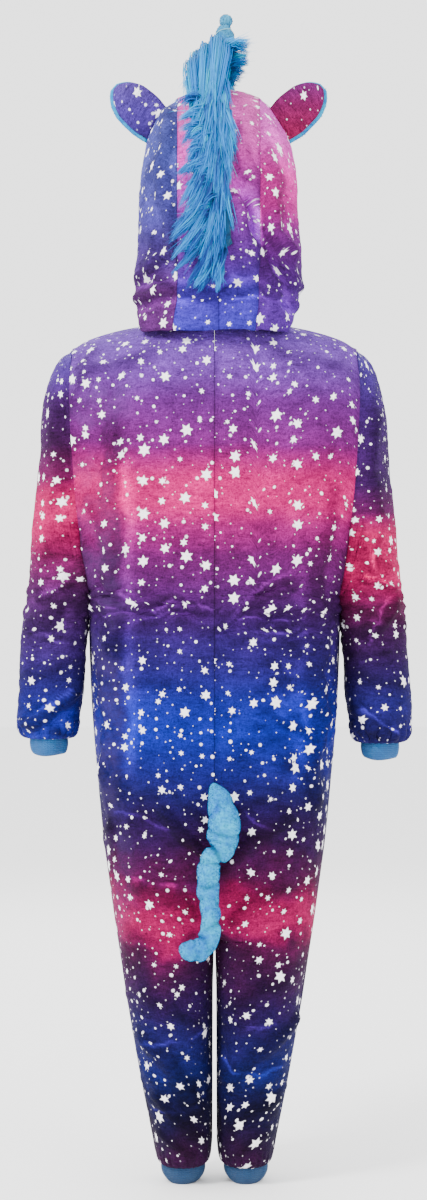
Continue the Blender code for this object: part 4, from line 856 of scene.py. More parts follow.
rightSleeveStops = (
    (0, 112, 90, 200), (-60, 88, 58, 164), (-120, 74, 34, 118), (-220, 74, 28, 100), (-264, 120, 26, 102),
    (-298, 238, 24, 118), (-350, 236, 24, 116), (-398, 128, 24, 92), (-430, 76, 24, 84), (-490, 50, 24, 92),
    (-540, 40, 32, 118), (-600, 44, 34, 120),
)
hoodLeftStops = (
    (360, 104, 106, 204), (250, 92, 98, 202), (150, 90, 80, 184), (90, 100, 62, 160), (50, 118, 50, 140),
    (15, 122, 52, 140),
)
stripStops = (
    (360, 255, 98, 200), (300, 255, 96, 210), (240, 244, 72, 204), (190, 188, 62, 190), (140, 142, 52, 182),
    (90, 104, 48, 170), (50, 76, 50, 186), (0, 72, 56, 198),
)
hoodRightStops = (
    (360, 255, 104, 236), (270, 255, 86, 220), (215, 250, 46, 184), (170, 196, 38, 146),
    (130, 132, 36, 140), (80, 104, 40, 146), (30, 98, 46, 162),
)
dyeStrength = 0.74           # how much light the dyed cloth gives back


cloth = {
    "body": fleece("bodyFleece", bodyStops, 0.0, sideSheen=(0.100, 0.150), seam=True),
    "front": fleece("frontFleece", bodyStops, 11.0),
    "sleeveLeft": fleece("sleeveLeftFleece", leftSleeveStops, 2.3),
    "sleeveRight": fleece("sleeveRightFleece", rightSleeveStops, 4.9),
    "hoodLeft": fleece("hoodLeftFleece", hoodLeftStops, 6.1),
    "strip": fleece("stripFleece", stripStops, 7.7, seam=True, seamAt=hoodShift, gain=1.35),
    "hoodRight": fleece("hoodRightFleece", hoodRightStops, 9.2, gain=1.35),
}
plush = plushMaterial("turquoisePlush", (0, 112, 214), (0, 206, 255), 160.0, sheen=0.04)
print("materials ready")


# body panels
fineness = {
    "back": {"columns": 62, "upperRows": 116, "torsoRows": 158, "crotchRows": 26, "legRows": 100,
             "hemRows": 14},
    "front": {"columns": 38, "upperRows": 36, "torsoRows": 70, "crotchRows": 18, "legRows": 52,
              "hemRows": 10},
}


def makePanel(side, face):
    which = "back" if face > 0 else "front"
    name = which + ("_left" if side > 0 else "_right")
    turned = side * face
    grid = panelGrid(side, face, **fineness[which])
    grid, foldShading = dressGrid(grid, False, turned, ("first", "last", "top", "end"))
    start = (0.37 if side > 0 else -0.61, 0.0)     # each half is cut from its own stretch of the print
    panel = gridObject(name + "_cloth", grid, False, turned, panelUv(grid, side, start), foldShading)
    place(panel, name, cloth["body" if face > 0 else "front"])
    sew(panel, fabricWall)
    return panel, grid


panels = {}
for side in (1, -1):
    for face in (1, -1):
        piece, grid = makePanel(side, face)
        panels[piece.name] = (piece, grid)

arms = ((1, "left", 0.0), (-1, "right", 0.006))      # the right one hangs 6 mm lower
sleevePoints = 92            # round the arm
sleeveLines = 158            # along it
for side, name, drop in arms:
    grid = sleeveGrid(side, drop, sleevePoints, sleeveLines)
    grid, foldShading = dressGrid(grid, True, -side, ("top", "end"))
    uv = sleeveUv(grid, side, (1.3 * side, 0.2 * side))
    arm = gridObject("sleeve_" + name + "_cloth", grid, True, -side, uv, foldShading, turns=uv[2])
    place(arm, "sleeve_" + name, cloth["sleeveLeft" if side > 0 else "sleeveRight"])
    sew(arm, fabricWall)

hoodGrids = {}
hoodRows = 120
for side, name in ((1, "left"), (-1, "right")):
    stripColumn = np.linspace(0, stripColumns, 21)
    sideColumn = np.linspace(stripColumns, stripColumns + sideColumns, 65)
    sideTone = "hoodLeft" if side > 0 else "hoodRight"
    for part, column, tone in (("strip", stripColumn, "strip"), ("side", sideColumn, sideTone)):
        grid = hoodGrid(side, column, hoodRows)
        seams = ("first", "last") if part == "strip" else ("first",)
        grid, foldShading = dressGrid(grid, False, side, seams)
        uv = stripUv(grid, side, (2.1, 0.5)) if part == "strip" else hoodSideUv(grid, side, (2.9 * side, 0.1))
        sheetPiece = gridObject("hood_" + part + "_" + name + "_cloth", grid, False, side, uv, foldShading)
        place(sheetPiece, "hood_" + part + "_" + name, cloth[tone])
        sew(sheetPiece, 0.0020)
        hoodGrids[part + name] = grid
print("cloth made")


# fur and pile, as narrow ribbons that taper to a point
def ribbons(roots, bends, tips, widths, facing, steps, wave, rng, turns=None):
    # roots, bends and tips are the three points of each hair's curve; turns adds a fourth before the tip
    t = np.linspace(0, 1, steps)[None, :, None]
    if turns is None:
        line = (1 - t) ** 2 * roots[:, None] + 2 * t * (1 - t) * bends[:, None] + t * t * tips[:, None]
    else:
        line = ((1 - t) ** 3 * roots[:, None] + 3 * t * (1 - t) ** 2 * bends[:, None]
                + 3 * t * t * (1 - t) * turns[:, None] + t ** 3 * tips[:, None])
    count = len(roots)
    phase = rng.uniform(0, 6.28, (count, 1, 3))
    pace = rng.uniform(3.0, 8.0, (count, 1, 1))
    line = line + wave * np.sin(phase + pace * t) * smoothStep(t * 2.5) * rng.uniform(0.4, 1.0, (count, 1, 1))
    ahead = np.gradient(line, axis=1)
    side = np.cross(ahead, facing[:, None] + rng.normal(0, 0.35, (count, 1, 3)))
    side = unitRows(side, 1e-9)
    taper = 1 - 0.92 * t ** 1.6
    half = side * widths[:, None, None] * taper / 2
    return line - half, line + half


def ribbonObject(name, low, high, shade):
    # "hairUv" holds how light each hair is, and how far along it a point lies
    count, steps = low.shape[:2]
    points = np.stack([low, high], axis=2).reshape(-1, 3)
    base = (np.arange(count) * steps * 2)[:, None] + (np.arange(steps - 1) * 2)[None]
    faces = np.stack([base, base + 1, base + 3, base + 2], axis=-1).reshape(-1, 4)
    mesh = bpy.data.meshes.new(name)
    mesh.from_pydata(points.tolist(), [], faces.tolist())
    along = np.linspace(0, 1, steps)
    u = np.repeat(shade, (steps - 1) * 4)
    v = np.tile(np.stack([along[:-1], along[:-1], along[1:], along[1:]], axis=-1).ravel(), count)
    layer = mesh.uv_layers.new(name="hairUv")
    layer.data.foreach_set("uv", np.stack([u, v], axis=-1).astype(np.float32).ravel())
    mesh.shade_smooth()
    return linked(name, mesh)


def treeOf(grids):
    points = []
    faces = []
    for grid, closed in grids:
        start = len(points)
        rows, columns = grid.shape[:2]
        points += [Vector(p) for p in grid.reshape(-1, 3)]
        for r in range(rows - 1):
            for c in range(columns if closed else columns - 1):
                after = (c + 1) % columns
                faces.append((start + r * columns + c, start + r * columns + after,
                              start + (r + 1) * columns + after, start + (r + 1) * columns + c))
    return BVHTree.FromPolygons(points, faces)


def keepOutside(tree, inside, points, clearance):
    # lifts points that lie in the hood, or too near to it, straight out from its middle
    flat = points.reshape(-1, 3)
    for i, point in enumerate(flat):
        away = Vector(point) - inside
        length = away.length
        away.normalize()
        hit = tree.ray_cast(inside, away)
        if hit[0] is not None and hit[3] + clearance > length:
            flat[i] = inside + away * (hit[3] + clearance)
    return flat.reshape(points.shape)


def furMaterial(name, dark, mid, light, rootShade=0.35):
    material, tree = newMaterial(name)
    hair = partsOf(tree, uvOf(tree, "hairUv"))
    ramp = addNode(tree, "ValToRGB", {0: hair[0]})
    ramp.color_ramp.elements[0].color = linear(*dark)
    ramp.color_ramp.elements[1].color = linear(*light)
    ramp.color_ramp.elements.new(0.5).color = linear(*mid)
    toned = scaled(tree, ramp.outputs[0], spread(tree, hair[1], 0.0, 0.75, rootShade, 1.12))
    finish(tree, toned, 0.55, 0.16, 0.04, sheenTint=linear(170, 225, 245))
    return material


def joinInto(piece, others):
    bpy.ops.object.select_all(action="DESELECT")
    for other in others + [piece]:
        other.select_set(True)
    bpy.context.view_layer.objects.active = piece
    bpy.ops.object.join()
    return piece


maneFur = furMaterial("maneFur", (0, 62, 158), (0, 150, 246), (0, 220, 255), rootShade=0.34)
shortFur = furMaterial("shortFur", (0, 92, 170), (0, 140, 222), (30, 196, 250), rootShade=0.55)
hoodTree = treeOf([(hoodGrids[key], False) for key in hoodGrids])
hoodHeart = Vector((hoodShift, -0.030, 0.150))       # a place inside the hood
print("fur tools ready")


# the mane: locks from the crest down the middle of the hood
mane = {
    "backingHalf": 0.015,       # half width of the backing that the fur is sewn on
    "firstAngle": 83.0,         # where it starts, degrees above the level seen from the side
    "lastAngle": 21.0,
    "shift": 0.006,             # the backing sits a little to the left of the seam
    "hairsInLock": 38,
    "hairWidth": 0.0019,
    "lockRadius": 0.0068,
}
# share of the way down, length of the locks, lift, sweep to the wearer's left, and its spread
maneRows = (
    ("down", "length", "lift", "sweep", "spread"),
    ((0.00, 0.070, 0.060, 0.002, 0.034), (0.07, 0.080, 0.060, 0.002, 0.032),
     (0.14, 0.080, 0.046, 0.002, 0.028), (0.24, 0.095, 0.030, 0.002, 0.017),
     (0.36, 0.092, 0.026, 0.004, 0.019), (0.50, 0.084, 0.022, 0.010, 0.025),
     (0.64, 0.076, 0.020, 0.016, 0.028), (0.78, 0.064, 0.018, 0.020, 0.030),
     (0.90, 0.056, 0.016, 0.022, 0.026), (1.00, 0.046, 0.012, 0.020, 0.022)),
)


# locks between two shares of the way down
maneLocks = ((0.0, 0.15, 110), (0.08, 0.42, 84), (0.36, 1.0, 140))


# outline of the tall clump at the crown, seen from behind
clumpTop = (
    ("x", "z"),
    ((-0.034, 0.418), (-0.015, 0.426), (0.000, 0.427), (0.010, 0.423), (0.017, 0.412), (0.028, 0.406),
    (0.0355, 0.391)),
)
clumpRight = (
    ("z", "x"),
    ((0.352, -0.020), (0.362, -0.032), (0.375, -0.044), (0.384, -0.049), (0.410, -0.047), (0.422, -0.054),
     (0.432, -0.034)),
)


def clumpLock(root, line, rng):
    # control points of a lock that rises at the crown and falls over, or stands out to the right
    kind = rng.uniform()
    if kind < 0.46:
        height = rng.uniform(0.356, 0.431)
        edge = float(readCurve(clumpRight, "x", height)) * rng.uniform(0.80, 1.04)
        bend = np.array([root[0] * 0.6 - 0.004, root[1], root[2] + (height - root[2]) * 0.85])
        turn = np.array([-0.016, root[1] + rng.uniform(0.006, 0.040), height + 0.004])
        tip = np.array([edge, root[1] + rng.uniform(0.000, 0.044), height + rng.normal(0.000, 0.004)])
        return bend, turn, tip
    if kind < 0.49:
        tip = np.array([rng.uniform(0.038, 0.045), root[1] + 0.01, rng.uniform(0.374, 0.386)])
        return root + np.array([0.01, 0, 0.03]), root + np.array([0.025, 0.01, 0.036]), tip
    apex = rng.uniform(-0.026, 0.036)
    top = float(readCurve(clumpTop, "z", apex)) - 0.060 * rng.uniform(0, 1) ** 1.6
    low = rng.uniform(0.268, 0.345)
    rise = max(0.008, (top - root[2] + 0.125 * (root[2] - low)) / 0.75)
    depth = float(np.interp(low, line[::-1, 2], line[::-1, 1]))
    bend = np.array([apex * 1.2, root[1] - 0.004, root[2] + rise * 1.03])
    turn = np.array([apex * 1.3, root[1] + rng.uniform(0.012, 0.034), root[2] + rise * 0.97])
    across = np.clip(0.50 * apex + 0.007 + rng.normal(0, 0.006), -0.019, 0.032)
    tip = np.array([across, depth + rng.uniform(0.006, 0.020), low])
    return bend, turn, tip


def pointAt(values, run, at):
    return np.array([np.interp(at, run, values[:, k]) for k in range(3)])


def crestPath():
    # points, outward directions and running lengths along the hood's middle seam
    angles = np.linspace(hoodFrontAngle, 0.0, hoodRows + 1)
    line = hoodGrids["stripleft"][:hoodRows + 1, 0].copy()
    ahead = unitRows(np.gradient(line, axis=0))
    out = np.cross(ahead, np.array([1.0, 0.0, 0.0]))
    out *= np.sign((out * (line - np.array(hoodHeart))).sum(axis=-1, keepdims=True))
    run = np.concatenate([[0.0], np.cumsum(np.linalg.norm(np.diff(line, axis=0), axis=-1))])
    keep = (angles <= mane["firstAngle"]) & (angles >= mane["lastAngle"])
    return line, ahead, out, run, run[keep][0], run[keep][-1]


def makeManeBacking():
    line, ahead, out, run, first, last = crestPath()
    rows = []
    for at in np.linspace(first - 0.003, last + 0.006, 60):
        centre, lift = pointAt(line, run, at), pointAt(out, run, at)
        row = []
        for k in range(11):
            half = mane["backingHalf"] + 0.0015 * math.sin(at * 400 + k * 0.3)
            across = mane["shift"] + (k / 5 - 1) * half
            height = 0.002 + 0.008 * (1 - abs(k / 5 - 1) ** 3)
            point = Vector(centre + np.array([across, 0, 0]) + lift * 0.02)
            hit = hoodTree.find_nearest(point)
            row.append(np.array(hit[0]) + lift * height)
        rows.append(row)
    return gridObject("mane_backing", np.array(rows), False, -1, stripUv(np.array(rows), 1, (0, 0)))


def makeMane():
    rng = np.random.default_rng(41)
    line, ahead, out, run, first, last = crestPath()
    lows, highs, shades = [], [], []
    shares = np.concatenate([rng.uniform(low, high, locks) for low, high, locks in maneLocks])
    shares = np.sort(shares)[::-1]
    for share in shares:
        at = first + (last - first) * share
        centre, lift, down = (pointAt(data, run, at) for data in (line, out, ahead))
        length, height, fan, sweep = (float(readCurve(maneRows, name, share))
                                      for name in ("length", "lift", "spread", "sweep"))
        length *= rng.uniform(0.78, 1.12)
        height *= rng.uniform(0.75, 1.15)
        beside = rng.uniform(-1, 1)
        root = centre + np.array([mane["shift"] + beside * mane["backingHalf"] * 0.9, 0, 0]) + lift * 0.003
        aside = sweep + fan * beside * rng.uniform(0.45, 1.0) + rng.normal(0, 0.004)
        falls = share >= 0.15
        turning = None
        if not falls:
            bend, turning, tip = clumpLock(root, line, rng)
        else:
            # the others rise, turn over and hang along the hood
            along = min(at + length * 0.92, last + 0.036)
            landing, lean = pointAt(line, run, along), pointAt(out, run, along)
            bend = root + lift * height * 1.25 + down * length * 0.25 + np.array([aside * 0.55, 0, 0])
            bend = 0.78 * bend + 0.22 * (landing + lean * height)
            tip = landing + lean * rng.uniform(0.006, 0.020) + np.array([root[0] - centre[0] + aside, 0, 0])
            if rng.uniform() < (0.14 if share < 0.42 else 0.32):
                # a frayed lock that sweeps out to the left
                bend = root + lift * height * 1.1 + np.array([0.022, 0, 0.002])
                tip = root + lift * rng.uniform(0.004, 0.014)
                tip = tip + np.array([rng.uniform(0.030, 0.048), 0, 0]) + down * rng.uniform(0.004, 0.030)
        count = mane["hairsInLock"]
        turn = rng.uniform(0, 6.28, count)
        reach = mane["lockRadius"] * np.sqrt(rng.uniform(0, 1, count))
        lockWay = unitRows(tip - root)
        one = unitRows(np.cross(lockWay, lift + 1e-3))
        other = np.cross(lockWay, one)
        offset = one[None] * (np.cos(turn) * reach)[:, None] + other[None] * (np.sin(turn) * reach)[:, None]
        cut = rng.uniform(0.80, 1.04, count)[:, None]
        roots = root + offset * 0.9
        bends = bend + offset * 0.95
        if not falls:
            cut = 1 - (1 - cut) * 0.25
        tips = root + (tip - root) * cut + offset * rng.uniform(0.12, 0.60, (count, 1))
        turns = None if turning is None else turning + offset * 1.1 + rng.normal(0, 0.0022, (count, 3))
        stray = rng.uniform(0, 1, (count, 1)) > 0.93
        tips = tips + stray * rng.normal(0, 0.007, (count, 3))
        bends = bends + rng.normal(0, 0.0022, (count, 3))
        facing = np.tile(lift + np.array([0, 0.5, 0]), (count, 1))
        widths = mane["hairWidth"] * rng.uniform(0.6, 1.25, count) * (1.5 if tip[0] < -0.026 else 1.0)
        low, high = ribbons(roots, bends, tips, widths, facing, 7, 0.0013, rng, turns)
        lows.append(low)
        highs.append(high)
        # the locks are darker further down the hood, as painted shade, and each also differs at random
        tone = rng.normal(0.64 - 0.50 * share, 0.12 if share < 0.15 else 0.18)
        shades.append(np.clip(rng.normal(tone, 0.13, count), 0.01, 0.99))
    low, high = np.concatenate(lows), np.concatenate(highs)
    middle = (low + high) / 2
    moved = keepOutside(hoodTree, hoodHeart, middle.copy(), 0.003) - middle
    fur = ribbonObject("mane_fur", low + moved, high + moved, np.concatenate(shades))
    return fur


# painted shade: the backing under the fur is dark blue, where shade falls beneath the locks
maneShadePaint = plushMaterial("maneBackingShade", (4, 52, 96), (10, 96, 150), 200.0)
fur = makeMane()
backing = makeManeBacking()
place(fur, "mane", maneFur)
place(backing, "mane", maneShadePaint)
sew(backing, 0.0015, offset=1.0)
print("mane made", len(fur.data.polygons))


# horn, ears and tail
def tubeGrid(path, radii, sides, relief=None, start=(0.0, 1.0, 0.0)):
    # rings square to the path; relief(turn, share) is added to each radius
    path = np.asarray(path)
    ahead = unitRows(np.gradient(path, axis=0))
    side = np.array(start, float)
    rows = []
    for i, point in enumerate(path):
        side = unitRows(side - ahead[i] * (side @ ahead[i]))
        other = np.cross(ahead[i], side)
        turn = np.arange(sides) / sides * 2 * math.pi
        radius = radii[i] + (relief(turn, i / (len(path) - 1)) if relief else 0.0)
        spokes = side[None] * np.cos(turn)[:, None] + other[None] * np.sin(turn)[:, None]
        rows.append(point + spokes * np.reshape(radius, (-1, 1)))
    return np.array(rows)


def tubeUv(grid):
    return np.tile(np.linspace(0, 0.2, grid.shape[1]), (len(grid), 1)), runLengths(grid, 0)


def smoothPath(points, count):
    points = np.asarray(points, float)
    padded = np.concatenate([[2 * points[0] - points[1]], points, [2 * points[-1] - points[-2]]])
    result = []
    for step in np.linspace(0, len(points) - 1, count):
        i = min(int(step), len(points) - 2)
        t = step - i
        a, b, c, d = padded[i:i + 4]
        bent = 2 * b + (c - a) * t + (2 * a - 5 * b + 4 * c - d) * t * t
        result.append(0.5 * (bent + (3 * b - a - 3 * c + d) * t ** 3))
    return np.array(result)


def pileOn(name, grid, closed, outward, count, length, width, lean, seed, shade=0.5, creaseShades=None):
    # short hairs scattered evenly over a grid, all combed the same way
    steps = 4
    unevenness = 0.16
    rng = np.random.default_rng(seed)
    wide = np.concatenate([grid, grid[:, :1]], axis=1) if closed else grid
    normal = gridNormals(grid, closed, outward)
    wideNormal = np.concatenate([normal, normal[:, :1]], axis=1) if closed else normal
    a = wide[:-1, 1:] - wide[:-1, :-1]
    b = wide[1:, :-1] - wide[:-1, :-1]
    area = np.linalg.norm(np.cross(a, b), axis=-1)
    picked = rng.choice(area.size, count, p=(area / area.sum()).ravel())
    r, c = np.unravel_index(picked, area.shape)
    s, t = rng.uniform(0, 1, (2, count, 1))
    root = (wide[r, c] * (1 - s) * (1 - t) + wide[r, c + 1] * s * (1 - t) + wide[r + 1, c] * (1 - s) * t
            + wide[r + 1, c + 1] * s * t)
    out = wideNormal[r, c]
    along = unitRows(b[r, c], 1e-9)
    patch = np.array([noise.noise(Vector(p) * 60.0) for p in root])[:, None]
    combed = along * lean[0] + np.array(lean[1])[None] + rng.normal(0, 0.22, (count, 3))
    combed = combed + patch * np.array([0.5, 0, 0.3])
    long = length * rng.uniform(0.6, 1.15, (count, 1))
    bend = root + out * long * 0.75 + combed * long * 0.15
    tip = root + (out * 0.62 + combed * 0.7) * long
    widths = width * rng.uniform(0.6, 1.2, count)
    facing = out + np.array([0, 0.3, 0])
    low, high = ribbons(root - out * 0.0006, bend, tip, widths, facing, steps, length * 0.06, rng)
    tone = shade + unevenness * patch[:, 0] * 2.2 + rng.normal(0, unevenness, count)
    # hairs in a crease get painted shade
    if creaseShades is not None:
        tone = tone + 0.5 * creaseShades[r, c]
    tone = np.clip(tone, 0.02, 0.98)
    return ribbonObject(name, low, high, tone)


horn = {
    "foot": (-0.0050, -0.0700), "tip": (-0.0173, -0.1080, 0.4800),
    "turns": 5.5,              # times that the thread winds round it
    "groove": 0.0042,          # how deep the thread pulls in
    "thread": 0.0009,
    "ball": 0.0096,
    "ballAt": 0.94,
    "hairs": 6800,
}
hornProfile = (
    ("along", "radius"),
    ((0.00, 0.0225), (0.10, 0.0232), (0.30, 0.0212), (0.50, 0.0190), (0.70, 0.0160), (0.84, 0.0142),
     (0.90, 0.0108), (0.94, 0.0058)),
)


def makeHorn():
    tip = np.array(horn["tip"])
    hit = hoodTree.ray_cast(Vector((horn["foot"][0], horn["foot"][1], 0.6)), Vector((0, 0, -1)))
    foot = np.array(hit[0]) - np.array([0, 0, 0.002])
    shares = np.linspace(0, horn["ballAt"], 110)
    path = foot + (tip - foot) * shares[:, None]
    radii = readCurve(hornProfile, "radius", shares)

    def wound(turn, share):
        phase = share * horn["turns"] * 2 * math.pi - turn
        dip = (0.5 + 0.5 * np.cos(phase)) ** 3
        drawnIn = -horn["groove"] * dip * smoothStep(share * 6) * (1 - 0.35 * share)
        return drawnIn + 0.0004 * np.sin(turn * 5 + share * 40)

    cone = tubeGrid(path, radii, 48, wound)
    arc = np.radians(np.linspace(28, 176, 18))
    axis = unitRows(tip - foot)
    ballPath = tip - axis * horn["ball"] * np.cos(arc)[:, None]
    ball = tubeGrid(ballPath, horn["ball"] * np.sin(arc), 48,
                    lambda turn, share: 0.0004 * np.sin(turn * 7 + share * 9))
    grid = np.concatenate([cone, ball])
    piece = gridObject("horn_plush", grid, True, 1, tubeUv(grid))
    # the thread lies in the groove
    turnShare = np.linspace(0.05, 0.985, 260)
    line = []
    ahead = unitRows(path[1] - path[0])
    side = unitRows(np.array([0.0, 1.0, 0.0]) - ahead * ahead[1])
    other = np.cross(ahead, side)
    for share in turnShare:
        turn = share * horn["turns"] * 2 * math.pi
        at = share * horn["ballAt"]
        groove = horn["groove"] * float(smoothStep(share * 6)) * (1 - 0.35 * share)
        reach = float(readCurve(hornProfile, "radius", at)) - groove + 0.0006
        line.append(foot + (tip - foot) * at + (side * math.cos(turn) + other * math.sin(turn)) * reach)
    thread = tubeGrid(np.array(line), np.full(len(line), horn["thread"]), 8, start=(0.0, 0.0, 1.0))
    cord = gridObject("horn_thread", thread, True, 1, tubeUv(thread))
    nap = pileOn("horn_nap", grid, True, 1, horn["hairs"], 0.0032, 0.0009, (0.6, (0, 0, 0.2)), 5)
    return piece, cord, nap


hornPiece, hornThread, hornNap = makeHorn()
hornPaint = plushMaterial("hornPlush", (24, 132, 196), (96, 200, 236), 190.0)
cordPaint = plushMaterial("hornThread", (120, 205, 232), (176, 232, 246), 900.0, roughness=0.5)
for piece, material in ((hornPiece, hornPaint), (hornThread, cordPaint), (hornNap, shortFur)):
    place(piece, "horn", material)
print("horn made")


ear = {
    "length": 0.096, "lean": 41.0, "root": (0.078, 0.012, 0.296), "cup": 0.010, "cupWidth": 0.0285,
    "wall": 0.0026, "liningBehind": 0.0038, "liningRim": 0.0024, "linerWall": 0.0024,
    "rimDrop": 0.0023,
    "hairs": 4300,
    "fringe": 1500,
}
earOutline = (
    ("along", "halfWidth"),
    ((0.00, 0.0255), (0.30, 0.0290), (0.60, 0.0275), (0.82, 0.0205), (0.94, 0.0120), (1.00, 0.0040)),
)


def earGrid(side, behind, rim, rows=26, columns=18):
    lean = math.radians(ear["lean"])
    axis = np.array([side * math.cos(lean), 0.0, math.sin(lean)])
    across = np.array([-side * math.sin(lean), 0.0, math.cos(lean)])
    root = np.array(ear["root"]) * (side, 1, 1) + (hoodShift, 0, 0)
    grid = []
    for share in np.linspace(0, 1, rows) ** 0.9:
        half = float(readCurve(earOutline, "halfWidth", share)) + rim
        t = np.linspace(-1, 1, columns)[:, None]
        reach = (ear["length"] + rim) * share
        bend = (half * t / ear["cupWidth"]) ** 2 * (1 - 0.5 * reach / ear["length"])
        row = root + axis * reach + across * half * t
        row = row - np.array([0.0, 1.0, 0.0]) * (behind + ear["cup"] * bend)
        grid.append(row)
    grid = np.array(grid)
    # the foot is sewn where it meets the hood
    foot = []
    for point in grid[0]:
        hit = hoodTree.ray_cast(Vector(point + axis * 0.08), Vector(-axis))
        foot.append(np.array(hit[0]) + axis * 0.0008 if hit[0] is not None else point)
    move = np.array(foot) - grid[0]
    grid += move[None] * np.linspace(1, 0, rows)[:, None, None] ** 1.2
    wave = 0.0016 * np.sin(grid[..., 2] * 90 + side) * np.sin(np.linspace(0, math.pi, rows))[:, None]
    grid[..., 1] += wave
    return grid


def makeEar(side, name):
    grid = earGrid(side, 0.0, 0.0)
    v = np.tile(runLengths(grid, 0)[:, 8:9], (1, grid.shape[1]))
    uv = (runLengths(grid, 1) + (3.3 if side > 0 else 4.7), v + 0.1)
    back = gridObject("ear_%s_cloth" % name, grid, False, side, uv)
    place(back, "ear_" + name, cloth["earLeft" if side > 0 else "earRight"])
    sew(back, ear["wall"])
    liner = earGrid(side, ear["liningBehind"], ear["liningRim"])
    # the rim shows along the lower edge
    liner = liner + np.array([side * 0.66, 0.0, -0.75]) * ear["rimDrop"]
    lining = gridObject("ear_lining_%s_plush" % name, liner, False, side, (runLengths(liner, 1), v))
    place(lining, "ear_lining_" + name, plush)
    sew(lining, ear["linerWall"])
    # pile on the lining's face, and a fringe that shows past the ear's edge
    face = liner - np.array([0, ear["linerWall"], 0])
    nap = pileOn("ear_nap_" + name, face, False, -side, ear["hairs"], 0.0042, 0.0010,
                 (0.5, (side * 0.2, 0, 0)), 8 + side)
    rims = np.concatenate([liner[:, :2][:, ::-1], liner[:, -2:]])
    fringe = pileOn("ear_fringe_" + name, rims, False, side, ear["fringe"], 0.0030, 0.0009,
                    (0.2, (side * 0.3, 0.1, 0)), 18 + side)
    for piece in (nap, fringe):
        place(piece, "ear_lining_" + name, shortFur)


leftEarStops = ((280, 76, 52, 150), (330, 96, 70, 178), (370, 120, 92, 196))
rightEarStops = ((280, 178, 34, 92), (330, 156, 36, 110), (370, 132, 48, 134))
cloth["earLeft"] = fleece("earLeftFleece", leftEarStops, 12.7)
cloth["earRight"] = fleece("earRightFleece", rightEarStops, 14.1)
for side, name in ((1, "left"), (-1, "right")):
    makeEar(side, name)
print("ears made")


tailLine = (
    ("x", "z", "offBack", "radius"),
    ((0.0010, -0.6540, 0.0004, 0.0030), (-0.0005, -0.6590, 0.0100, 0.0082),
     (-0.0080, -0.6750, 0.0240, 0.0178), (-0.0125, -0.7000, 0.0300, 0.0225),
     (-0.0125, -0.7220, 0.0300, 0.0220), (-0.0095, -0.7400, 0.0310, 0.0198),
     (0.0015, -0.7540, 0.0330, 0.0172), (0.0080, -0.7700, 0.0320, 0.0158),
     (0.0095, -0.7950, 0.0300, 0.0148), (0.0075, -0.8200, 0.0340, 0.0142),
     (0.0050, -0.8440, 0.0420, 0.0148), (0.0085, -0.8680, 0.0490, 0.0152),
     (0.0210, -0.8840, 0.0520, 0.0150), (0.0350, -0.8850, 0.0520, 0.0152),
     (0.0450, -0.8830, 0.0520, 0.0098), (0.0500, -0.8825, 0.0520, 0.0030)),
)
tailCreases = (                  # share of the way down, depth, and where round the tail it starts
    (0.385, 0.0075, 0.4), (0.430, 0.0060, 2.6), (0.600, 0.0036, 1.0), (0.690, 0.0042, 3.4),
    (0.765, 0.0046, 0.6), (0.840, 0.0034, 2.0), (0.170, 0.0030, 2.2), (0.250, 0.0026, 5.0),
    (0.320, 0.0030, 1.2), (0.520, 0.0030, 4.4),
)
tailHairs = 12200
backTree = treeOf([(panels[key][1], False) for key in panels if key.startswith("back")])


def makeTail():
    path = []
    for x, z, offBack, radius in tailLine[1]:
        hit = backTree.ray_cast(Vector((0.0008, 1.0, max(z, -0.80))), Vector((0, -1, 0)))
        path.append((x, hit[0][1] + offBack, z, radius))
    path = smoothPath(path, 190)
    creases = []

    def stuffed(turn, share):
        # lumps of filling, and the crease where it folds over
        lump = 0.0013 * np.sin(turn * 2 + share * 26) + 0.0009 * np.sin(turn * 3 - share * 41)
        crease = 0
        for at, deep, turned in tailCreases:
            slant = share - at + 0.020 * np.cos(turn + turned)
            crease = crease - deep * np.exp(-(slant / 0.013) ** 2) * (0.65 + 0.35 * np.cos(turn - turned))
        creases.append(crease)
        return lump * math.sin(math.pi * share) + crease

    grid = tubeGrid(path[:, :3], np.maximum(path[:, 3], 0.002), 40, stuffed, start=(1.0, 0.0, 0.0))
    # painted shade in the tail's creases, a little lighter between them
    foldShading = np.clip(np.array(creases) / 0.0040 + 0.25, -1, 1)
    piece = gridObject("tail_plush", grid, True, 1, tubeUv(grid), foldShading)
    nap = pileOn("tail_nap", grid, True, 1, tailHairs, 0.0028, 0.0011, (0.9, (0, 0, -0.25)), 77,
                 shade=0.55, creaseShades=foldShading)
    return piece, nap


tailPiece, tailNap = makeTail()
for piece, material in ((tailPiece, plush), (tailNap, shortFur)):
    place(piece, "tail", material)
print("tail made")


# knit cuffs
cuffs = {
    "wrist": {"centre": 0.2428, "top": -0.5926, "halfWidth": 0.0252, "back": 0.0358, "front": 0.0358,
              "height": 0.0236, "ribs": 78, "bow": 0.0030, "curl": 0.0022, "flat": (0.22, 0.036)},
    "ankle": {"centre": 0.0460, "top": -1.2161, "halfWidth": 0.0298, "back": 0.0438, "front": 0.0368,
              "height": 0.0246, "ribs": 92, "bow": 0.0028, "curl": 0.0085, "flat": (0.26, 0.038)},
}


